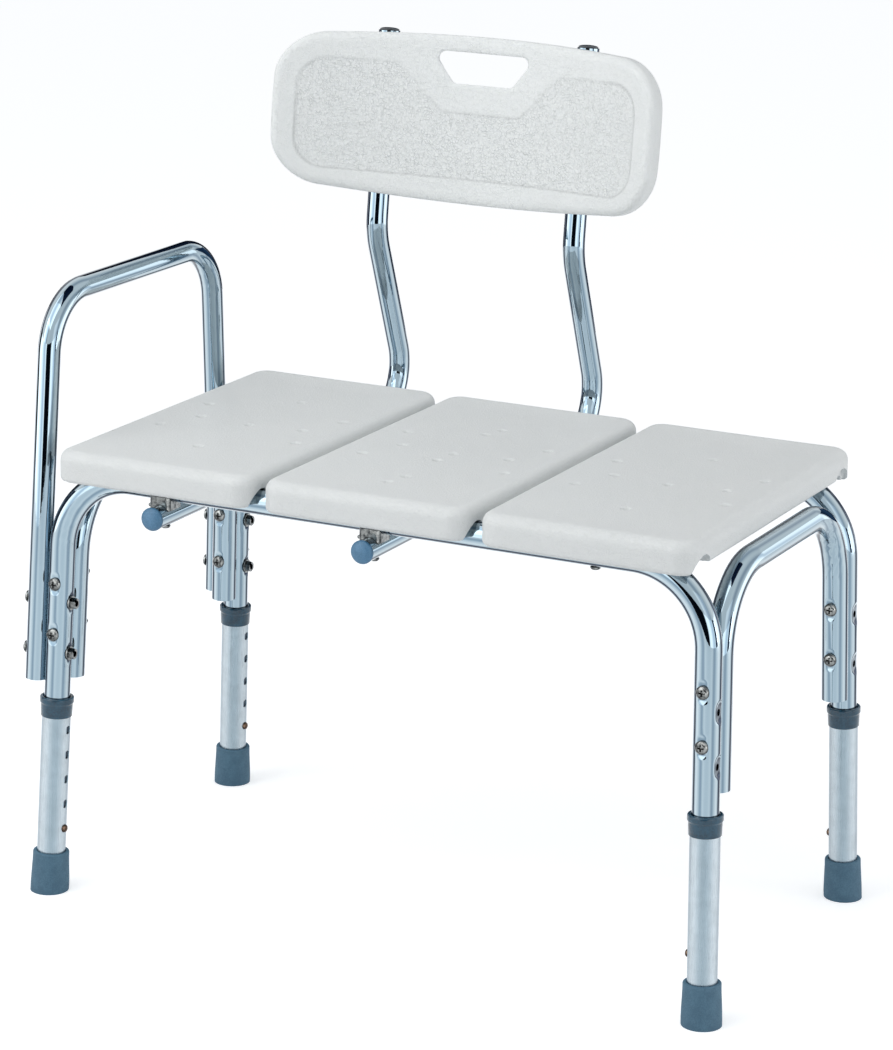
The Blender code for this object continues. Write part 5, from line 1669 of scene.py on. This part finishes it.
@dataclass
class Backrest:
    """The curled backrest board, thin in the middle, with its hand slot, sunk field and post grooves."""

    top: float = 0.8080
    middle_x: float = -0.11175
    forward: float = 0.0092
    width: float = 0.4180
    height: float = 0.1705
    top_bow: float = 0.0060
    bottom_bow: float = 0.0070
    side_bow: float = 0.0040
    corner: float = 0.0480
    thickness: float = 0.0340
    waist: float = 0.0125
    edge_round: float = 0.0100
    curl: float = 0.0360
    field_margin: float = 0.0260
    field_side: float = 0.0205
    field_foot: float = 0.0185
    field_depth: float = 0.0014
    field_corner: float = 0.0300
    boss_halves: Pair = (0.0900, 0.0440)
    boss_drop: float = 0.0298
    slot_margin: float = 0.0165
    slot_height: float = 0.0318
    slot_halves: Pair = (0.0575, 0.0315)
    slot_corner: float = 0.0075
    slot_lip: float = 0.0045
    slot_side_flare: float = math.tan(math.radians(26.0))
    slot_foot_flare: float = math.tan(math.radians(10.0))
    slot_flare_reach: float = 0.0180
    groove_x: float = 0.11175
    groove_radius: float = 0.0114
    grid: float = 0.0017
    fine_grid: float = 0.0009
    hole_u: Pair = (-0.0700, 0.0700)
    hole_v: Pair = (-0.0606, -0.0165)
    # Painted shade along the field's edge: full on the lower half and at the right end, fading over these
    # spans, and this least share elsewhere.
    shade_below: Pair = (-0.110, -0.050)
    shade_beyond: Pair = (0.120, 0.180)
    least_line_shade: float = 0.25
    rim_grain: float = 0.55
    # The painted shade line along the field's edge: its reach and how much darker it makes the colour.
    line_reach: float = 0.0017
    painted_line_shade: float = 0.26
    # Painted light: the whole board is made paler by this gain on its colour.
    painted_light_gain: float = 1.08
    soft: float = 0.0016

    def warp(self, points: Array) -> Array:
        """Bow the board's four edges outwards.

        Args:
            points: (u, v) pairs on the unbowed board.

        Returns:
            The bowed pairs.
        """
        u, v = points[..., 0], points[..., 1]
        half, low, high = self.width / 2, self.bottom_bow - self.height, -self.top_bow
        crown = np.maximum(1 - (u / (half - self.corner)) ** 2, 0)
        share = (v - low) / (high - low)
        middle, reach = (low + high) / 2, (high - low) / 2
        side = np.maximum(1 - ((v - middle) / reach) ** 2, 0)
        return np.stack([
            u + self.side_bow * side * u / half,
            v + crown * (self.top_bow * share - self.bottom_bow * (1 - share)),
        ], axis=-1)

    def field_outline(self) -> Array:
        """The sunk field's outline, which goes round the boss of the hand slot."""
        half = self.width / 2 - self.field_side
        low = self.bottom_bow - self.height + self.field_foot
        high = -self.top_bow - self.field_margin
        boss = -self.slot_margin - self.slot_height - self.boss_drop
        wide, narrow = self.boss_halves
        corners = [
            (-half, low), (half, low), (half, high), (wide, high), (narrow, boss), (-narrow, boss),
            (-wide, high), (-half, high),
        ]
        big, small = self.field_corner, self.field_corner / 3
        return np.array(rounded_profile(corners, [big, big, big, small, small, small, small, big], 8))

    def slot_sides(self) -> list[Array]:
        """The hand slot's outline as four runs, from corner to corner, lowest first."""
        top, low = -self.slot_margin, -self.slot_margin - self.slot_height
        wide, narrow = self.slot_halves
        steps = 8
        corners = [(-narrow, low), (narrow, low), (wide, top), (-wide, top)]
        line = np.array(rounded_profile(corners, [self.slot_corner] * 4, steps))
        starts = [k * (steps + 1) + steps // 2 for k in range(4)] + [len(line) + steps // 2]
        return [np.take(line, range(a, b + 1), axis=0, mode="wrap") for a, b in zip(starts, starts[1:])]

    def build(self, shop: Workshop) -> None:
        """Make the board, curl it, groove it for the posts and lean it back."""
        half, low, high = self.width / 2, self.bottom_bow - self.height, -self.top_bow
        ends = (self.field_side - half, half - self.field_side)
        sides = [(end - 0.003, end + 0.003, self.fine_grid) for end in ends]
        foot = low + self.field_foot
        bottom = (foot - 0.001, foot + 0.009, self.fine_grid)
        us = grid_lines(-half, half, edge_lines(-half, half, self.edge_round) + sides, self.grid)
        vs = grid_lines(low, high, edge_lines(low, high, self.edge_round) + [bottom], self.grid)
        plate = Plate(us, vs, self.corner, wall_rings=8)
        plan = self.warp(plate.plan())
        rim = np.array([plan[i, j] for i, j in plate.rim()])
        slot = self.slot_sides()
        whole_slot = np.vstack([side[:-1] for side in slot])
        field_edge = self.field_outline()

        def edge(points: Array) -> Array:
            """How far the rounded rims fall away at each point."""
            outer = quarter(np.maximum(signed_distance(points, rim), 0), self.edge_round)
            hole = np.maximum(-signed_distance(points, whole_slot), 0)
            return outer + quarter(hole, self.slot_lip)

        def front(points: Array) -> Array:
            """The front skin's height."""
            sunk = ease(signed_distance(points, field_edge), -self.soft, self.soft)
            return self.thickness / 2 - edge(points) - self.field_depth * sunk

        def back(points: Array) -> Array:
            """The back skin's height."""
            return edge(points) - self.thickness / 2

        i_range = tuple(int(np.argmin(np.abs(us - u))) for u in self.hole_u)
        j_range = tuple(int(np.argmin(np.abs(vs - v))) for v in self.hole_v)
        hole = Hole(slot, i_range, j_range, self.slot_lip)
        points, faces = plate.skins(plan, front, back, hole)
        mesh = mesh_of("board", points[:, [0, 2, 1]] * (1, -1, 1), faces)
        self.flare(mesh, whole_slot)
        self.shape(mesh)
        self.mark(mesh, field_edge)
        post_y = LAYOUT.post_y(self.top) - self.forward
        lean = Matrix.Rotation(-LAYOUT.recline, 4, "X")
        mesh.transform(Matrix.Translation((self.middle_x, post_y, self.top)) @ lean)
        shop.fit("backrest_panel", "shell", mesh, SEAT_PLASTIC, sharp_degrees=50.0)

    def mark(self, mesh: Mesh, field_edge: Array) -> None:
        """Store how deep the grain is, and the tone: painted light that makes the whole board paler, and a
        painted shade line along the field's edge, strongest on its lower half and right end.

        Args:
            mesh: The curled board, before it leans.
            field_edge: The sunk field's outline.
        """
        places = places_of(mesh)
        flat = places[:, [0, 2]]
        curl = self.curl * (2 * flat[:, 0] / self.width) ** 2
        in_front = places[:, 1] < self.thickness / 2 - self.waist / 2 - curl
        away = signed_distance(flat, field_edge)
        inside = ease(away, -self.soft, self.soft) * in_front
        set_share(mesh, "grain", self.rim_grain + (1 - self.rim_grain) * inside)
        # Painted shade on the field's edge line: strongest on the lower half and at the right end.
        low_half = 1 - ease(flat[:, 1], *self.shade_below)
        right_end = ease(flat[:, 0], *self.shade_beyond)
        painted_shade_share = self.least_line_shade + (1 - self.least_line_shade) * np.maximum(low_half, right_end)
        line = np.maximum(1 - np.abs(away) / self.line_reach, 0) * in_front * painted_shade_share
        # Painted light raises the whole board's tone; the painted shade line along the field's edge lowers
        # it.
        set_share(mesh, "tone", self.painted_light_gain * (1 - self.painted_line_shade * line))

    def flare(self, mesh: Mesh, slot: Array) -> None:
        """Widen the hand slot's sides and foot towards the board's back.

        Args:
            mesh: The flat board, its front towards -Y.
            slot: The slot's outline.
        """
        places = places_of(mesh)
        gone = np.maximum(-signed_distance(places[:, [0, 2]], slot), 0)
        pull = 1 - ease(gone, 0.0, self.slot_flare_reach)
        depth = (places[:, 1] + self.thickness / 2) * self.waist / self.thickness
        sideways = np.clip(places[:, 0] / self.slot_halves[1], -1, 1)
        below = places[:, 2] < -self.slot_margin - self.slot_height / 2
        places[:, 0] += self.slot_side_flare * depth * pull * sideways
        places[:, 2] -= self.slot_foot_flare * depth * pull * below
        mesh.vertices.foreach_set("co", places.ravel())

    def shape(self, mesh: Mesh) -> None:
        """Curl the flat board forward at its ends, dish its front and press the posts' grooves."""
        back = self.thickness / 2
        for vertex in mesh.vertices:
            x = vertex.co.x
            reach = (2 * x / self.width) ** 2
            share = (self.waist + (self.thickness - self.waist) * reach) / self.thickness
            vertex.co.y = back - (back - vertex.co.y) * share - self.curl * reach
            off = abs(abs(x) - self.groove_x)
            if off < self.groove_radius:
                vertex.co.y = min(vertex.co.y, self.forward - math.sqrt(self.groove_radius ** 2 - off ** 2))
        mesh.update()


@dataclass
class Fasteners:
    """Every bolt and screw: pan heads with a cross recess, washers, nuts and threaded ends."""

    bolt_radius: float = 0.0030
    bolt_head: Pair = (0.0065, 0.0036)
    bolt_tail: float = 0.0025
    nut: Pair = (0.0056, 0.0050)
    washer: Pair = (0.0072, 0.0012)
    screw_radius: float = 0.0026
    screw_head: Pair = (0.0048, 0.0028)
    screw_depth: float = 0.0090
    back_grip: float = 0.0050
    back_screw_height: float = 0.72275
    pitch: float = 0.0010
    ridges: int = 8

    def headed(self, length: float, radius: float, head: Pair) -> Mesh:
        """A pan-headed screw along Z, its seat at the origin and its shank upwards.

        Args:
            length: How far the shank reaches.
            radius: The shank's radius.
            head: The head's radius and height.

        Returns:
            The mesh, with a cross recess in its head and a ridged end.
        """
        wide, tall = head
        profile = [
            (0.0, -tall), (wide * 0.40, -tall), (wide * 0.70, -tall * 0.93), (wide * 0.90, -tall * 0.72),
            (wide, -tall * 0.42), (wide, -tall * 0.08), (wide * 0.96, 0.0), (radius, 0.0),
        ]
        for k in range(self.ridges):
            height = length - self.pitch * (self.ridges - k)
            profile += [(radius * 0.86, height), (radius, height + self.pitch / 2)]
        profile += [(radius * 0.8, length - 0.0002), (0.0, length)]
        mesh = lathe("screw", profile, 32)
        return cut(mesh, [self.recess(wide, tall, turn) for turn in (0.0, math.pi / 2)])

    def recess(self, wide: float, tall: float, turn: float) -> Mesh:
        """A tapered blade that cuts one arm of a cross recess into a head."""
        length, breadth = wide * 0.66, wide * 0.15
        deep, over = -tall * 0.25, -tall * 1.4
        points = [
            (x * (length if z == over else length * 0.35), y * (breadth if z == over else breadth * 0.6), z)
            for z in (over, deep) for x, y in ((-1, -1), (1, -1), (1, 1), (-1, 1))
        ]
        faces = [(0, 1, 2, 3), (7, 6, 5, 4), (0, 4, 5, 1), (1, 5, 6, 2), (2, 6, 7, 3), (3, 7, 4, 0)]
        mesh = mesh_of("blade", points, faces)
        mesh.transform(Matrix.Rotation(turn, 4, "Z"))
        return mesh

    def nutted(self, span: float) -> Mesh:
        """A bolt with a washer and a chamfered nut tightened on, for a joint of the given span."""
        ring, thick = self.washer
        nut, tall = self.nut
        top = thick + tall
        bolt = self.headed(span + top + self.bolt_tail, self.bolt_radius, self.bolt_head)
        washer = lathe(
            "washer", [(0, 0), (ring, 0), (ring, thick * 0.7), (ring * 0.93, thick), (0, thick)], 40,
        )
        hexagon = lathe("hexagon", [(0, thick / 2), (nut, thick / 2), (nut, top), (0, top)], 6)
        wide, narrow, end = nut * 1.05, nut * 0.84, top + 0.0002
        chamfer = lathe("chamfer", [(0, 0), (wide, 0), (wide, top - 0.0006), (narrow, end), (0, end)], 40)
        stack = cut(washer, [cut(hexagon, [chamfer], "INTERSECT")], "UNION")
        stack.transform(Matrix.Translation((0, 0, span)))
        return cut(bolt, [stack], "UNION")

    def set_out(
        self, shop: Workshop, name: str, master: Mesh, places: dict[str, tuple[Vector, Vector]],
    ) -> None:
        """Put a copy of one fastener at each place.

        Args:
            shop: Where pieces are made.
            name: The group's name.
            master: The fastener, along Z.
            places: Node name to its seat point and its direction.
        """
        piece = linked("master", master)
        points = bpy.data.meshes.new("places")
        points.from_pydata([tuple(point) for point, _ in places.values()], [], [])
        ways = [part for _, way in places.values() for part in way.normalized()]
        points.attributes.new("direction", "FLOAT_VECTOR", "POINT").data.foreach_set("vector", ways)
        mesh = shop.fasteners.bake(points, {"Fastener": piece, "Material": shop.materials[ZINC]})
        bpy.data.objects.remove(piece)
        shop.place(name, mesh, ZINC, "bench", list(places), sharp_degrees=30.0)

    def build(self, shop: Workshop) -> None:
        """Set out every group of fasteners."""
        gap = LAYOUT.gap
        flat = LAYOUT.tube_radius - LAYOUT.flat_depth
        cross = {}
        for row in Row:
            line = LAYOUT.leg if row is Row.FRONT else LAYOUT.cross
            for side in Side:
                for level, height in zip(("upper", "lower"), LAYOUT.cross_bolts(row)):
                    seat = line(row, side, height) - Vector((0, flat + gap, 0))
                    cross[f"cross_bolt_{row.value}_{side.value}_{level}"] = (seat, Vector((0, 1, 0)))
        span = 4 * LAYOUT.tube_radius - 2 * LAYOUT.flat_depth + 3 * gap
        self.set_out(shop, "cross_frame_bolts", self.nutted(span), cross)
        arm_flat = LAYOUT.slim_radius - LAYOUT.flat_depth
        arm = {}
        for row in Row:
            for level, height in zip(("upper", "lower"), LAYOUT.arm_bolts()):
                seat = LAYOUT.arm(row, height) - Vector((arm_flat + gap, 0, 0))
                arm[f"arm_bolt_{row.value}_{level}"] = (seat, Vector((1, 0, 0)))
        span = arm_flat + LAYOUT.slim_radius + LAYOUT.tube_radius + flat + 3 * gap
        self.set_out(shop, "arm_rail_bolts", self.nutted(span), arm)
        self.screws(shop)

    def screws(self, shop: Workshop) -> None:
        """Set out the screws up into the seat panels and those into the backrest."""
        gap, up = LAYOUT.gap, Vector((0, 0, 1))
        tip = LAYOUT.rail_height + LAYOUT.tube_radius + self.screw_depth - 4 * gap
        rail_seat = LAYOUT.rail_height - LAYOUT.tube_radius - gap
        post_seat = LAYOUT.post_height - LAYOUT.slim_radius - gap
        panel, post = {}, {}
        for row in Row:
            y = row.sign * LAYOUT.rail_y
            panel["seat_screw_" + row.value] = (Vector((LAYOUT.panel_pitch, y, rail_seat)), up)
            for side in Side:
                place = Vector((LAYOUT.post_x(side), y, post_seat))
                post[f"post_screw_{row.value}_{side.value}"] = (place, up)
        size = self.screw_radius, self.screw_head
        self.set_out(shop, "seat_screws", self.headed(tip - rail_seat, *size), panel)
        self.set_out(shop, "post_screws", self.headed(tip - post_seat, *size), post)
        length = 2 * LAYOUT.slim_radius + gap + self.back_grip
        back = {}
        for side in Side:
            height = self.back_screw_height
            centre = Vector((LAYOUT.post_x(side), LAYOUT.post_y(height), height))
            seat = centre + LAYOUT.post_back * (LAYOUT.slim_radius + gap)
            back["backrest_screw_" + side.value] = (seat, -LAYOUT.post_back)
        self.set_out(shop, "backrest_screws", self.headed(length, *size), back)


# Studio


@dataclass
class Studio:
    """The white floor, the soft lights and the camera at the photograph's angle."""

    camera_place: Triple = (1.517395, -3.178132, 1.342875)
    azimuth: float = math.radians(26.027)
    elevation: float = math.radians(15.567)
    roll: float = math.radians(1.156)
    lens: float = 85.10
    floor_size: float = 14.0
    floor_lift: float = 0.52
    room_light: float = 0.60
    card_distance: float = 3.0
    aim_height: float = 0.4
    sheet_height: float = 2.70
    sheet_halves: Pair = (1.0, 0.75)
    cards_around: tuple[tuple[str, float, float, float, str, float], ...] = (
        ("dark_card_beside_camera", -30.0, 12.0, 1.12, "0B1018", 1.0),
        ("white_card_right_of_camera", 14.0, 53.0, 1.12, "FFFFFF", 2.1),
        ("dark_card_right", 54.0, 67.0, 1.12, "1D3050", 1.0),
        ("white_card_right", 69.0, 130.0, 1.12, "FFFFFF", 1.9),
        ("dark_card_behind_right", 132.0, 160.0, 1.12, "28405C", 1.0),
        ("tall_dark_card_behind", 163.0, 190.0, 2.40, "131D30", 1.0),
        ("dark_card_behind_left", -158.0, -138.0, 1.12, "0E1622", 1.0),
        ("white_card_behind_left", -136.0, -119.0, 1.12, "FFFFFF", 2.1),
        ("dark_card_left", -118.0, -98.0, 1.12, "1A2536", 1.0),
        ("white_card_left", -97.0, -32.0, 1.12, "FFFFFF", 2.1),
    )

    def build(self) -> None:
        """Set up everything that is not part of the bench."""
        self.camera()
        self.floor()
        self.cards()
        self.world()
        self.lights()
        bpy.context.scene.view_settings.view_transform = "Standard"
        log.info("studio: floor, world, lights and camera")

    def camera(self) -> None:
        """Place the camera. The lens is for a frame that is 24 mm high."""
        a, e, r = self.azimuth, self.elevation, self.roll
        back = Vector((math.sin(a) * math.cos(e), -math.cos(a) * math.cos(e), math.sin(e)))
        right = (-back).cross(Vector((0, 0, 1))).normalized()
        up = right.cross(-back)
        turned_right = right * math.cos(r) + up * math.sin(r)
        turned_up = up * math.cos(r) - right * math.sin(r)
        data = bpy.data.cameras.new("camera")
        data.sensor_fit = "VERTICAL"
        data.sensor_height = 24
        data.lens = self.lens
        item = linked("camera", data)
        turn = Matrix((turned_right, turned_up, back)).transposed().to_4x4()
        item.matrix_world = Matrix.Translation(self.camera_place) @ turn
        bpy.context.scene.camera = item

    def floor(self) -> None:
        """Lay the floor: matt white that keeps the bench's shadow."""
        half = self.floor_size / 2
        mesh = bpy.data.meshes.new("floor")
        corners = [(-half, -half, 0), (half, -half, 0), (half, half, 0), (-half, half, 0)]
        mesh.from_pydata(corners, [], [(0, 1, 2, 3)])
        material = bpy.data.materials.new("matt_white_paper")
        material.use_nodes = True
        graph = Graph(material.node_tree)
        paper = graph.add("ShaderNodeBsdfDiffuse", {"Color": linear("E8E9EA")})
        strength = graph.add(MATH, (self.seen(graph), self.floor_lift), operation="MULTIPLY")
        lift = graph.add("ShaderNodeEmission", {"Color": linear("FFFFFF"), "Strength": strength})
        both = graph.add("ShaderNodeAddShader", (paper, lift))
        graph.add("ShaderNodeOutputMaterial", {"Surface": both})
        mesh.materials.append(material)
        linked("floor", mesh)

    def seen(self, graph: Graph) -> Node:
        """One for what the camera sees by itself or in metal, and zero for light that falls on things."""
        path = graph.add("ShaderNodeLightPath").outputs
        either = graph.add(MATH, (path["Is Camera Ray"], path["Is Glossy Ray"]), operation="MAXIMUM")
        return graph.add(MATH, (either, path["Is Transmission Ray"]), operation="MAXIMUM")

    def cards(self) -> None:
        """Stand dark and lit cards round the room, as a photographer does so that chrome has lines in it.

        They are seen only in polished metal and throw no light or shadow on the bench.
        """
        away = self.azimuth - math.pi / 2
        for name, first, last, height, colour, strength in self.cards_around:
            steps = max(2, round((last - first) / 4))
            turns = [away + math.radians(first + (last - first) * i / steps) for i in range(steps + 1)]
            line = [(math.cos(t) * self.card_distance, math.sin(t) * self.card_distance) for t in turns]
            low = [(x, y, 0.0) for x, y in line]
            high = [(x, y, height) for x, y in line]
            faces = [(i, i + 1, i + steps + 2, i + steps + 1) for i in range(steps)]
            self.card(name, low + high, faces, colour, strength)
        wide, deep = self.sheet_halves
        corners = ((-wide, -deep), (wide, -deep), (wide, deep), (-wide, deep))
        above = [(x, y, self.sheet_height) for x, y in corners]
        self.card("dark_sheet_overhead", above, [(0, 1, 2, 3)], "16233A", 1.0)

    def card(
        self, name: str, points: list[Triple], faces: Faces, colour: str, strength: float,
    ) -> None:
        """Hang one card that only polished metal sees.

        Args:
            name: The card's name.
            points: Its corner points.
            faces: Its faces.
            colour: Its colour as hex sRGB.
            strength: How brightly it is lit.
        """
        mesh = bpy.data.meshes.new(name)
        mesh.from_pydata(points, [], faces)
        material = bpy.data.materials.new(name)
        material.use_nodes = True
        graph = Graph(material.node_tree)
        cloth = graph.add("ShaderNodeEmission", {"Color": linear(colour), "Strength": strength})
        graph.add("ShaderNodeOutputMaterial", {"Surface": cloth})
        mesh.materials.append(material)
        item = linked(name, mesh)
        item.visible_camera = False
        item.visible_diffuse = False
        item.visible_shadow = False

    def world(self) -> None:
        """Light the room softly and evenly, and show it white to the camera and in metal."""
        world = bpy.data.worlds.new("studio")
        world.use_nodes = True
        bpy.context.scene.world = world
        graph = Graph(world.node_tree)
        room = graph.add("ShaderNodeBackground", {"Color": linear("F4F7FA"), "Strength": self.room_light})
        white = graph.add("ShaderNodeBackground", {"Color": linear("FFFFFF"), "Strength": 1.0})
        mixed = graph.add("ShaderNodeMixShader", (self.seen(graph), room, white))
        graph.add("ShaderNodeOutputWorld", {"Surface": mixed})

    def lights(self) -> None:
        """Hang the soft boxes."""
        boxes = [
            ("key", (-2.1, -3.1, 2.3), 29.0, 2.2, "FFFFFF"),
            ("fill", (2.9, -1.6, 1.7), 4.0, 1.8, "F2F6FF"),
            ("side", (3.2, 0.4, 0.6), 14.0, 0.9, "FFFFFF"),
            ("top", (-0.5, -1.0, 2.2), 13.8, 1.8, "FFFFFF"),
        ]
        for name, place, power, size, colour in boxes:
            data = bpy.data.lights.new(name, "AREA")
            data.energy = power
            data.size = size
            data.color = linear(colour)[:3]
            item = linked(name, data)
            item.matrix_world = aim(Vector(place), Vector(place) - Vector((0, 0, self.aim_height)))


def main() -> None:
    """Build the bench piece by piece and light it."""
    logging.basicConfig(level=logging.INFO, format="%(name)s: %(message)s")
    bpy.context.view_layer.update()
    rails = [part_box("front_rail_frame"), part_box("rear_rail_frame")]
    middle = Vector(((rails[0][0].x + rails[0][1].x) / 2, sum(low.y + high.y for low, high in rails) / 4, 0))
    shop = Workshop(middle)
    for row in Row:
        LongFrame(row).build(shop)
    for side in Side:
        CrossFrame(side).build(shop)
    ArmRail().build(shop)
    for side in Side:
        BackPost(side).build(shop)
    for row in Row:
        for side in Side:
            Leg(row, side).build(shop)
    pitch = LAYOUT.panel_pitch
    SeatPanel("left", -pitch).build(shop)
    SeatPanel("middle", 0.0, MIDDLE_DIMPLES).build(shop)
    SeatPanel("right", pitch).build(shop)
    Backrest().build(shop)
    Fasteners().build(shop)
    Studio().build()


if __name__ == "__main__":
    main()
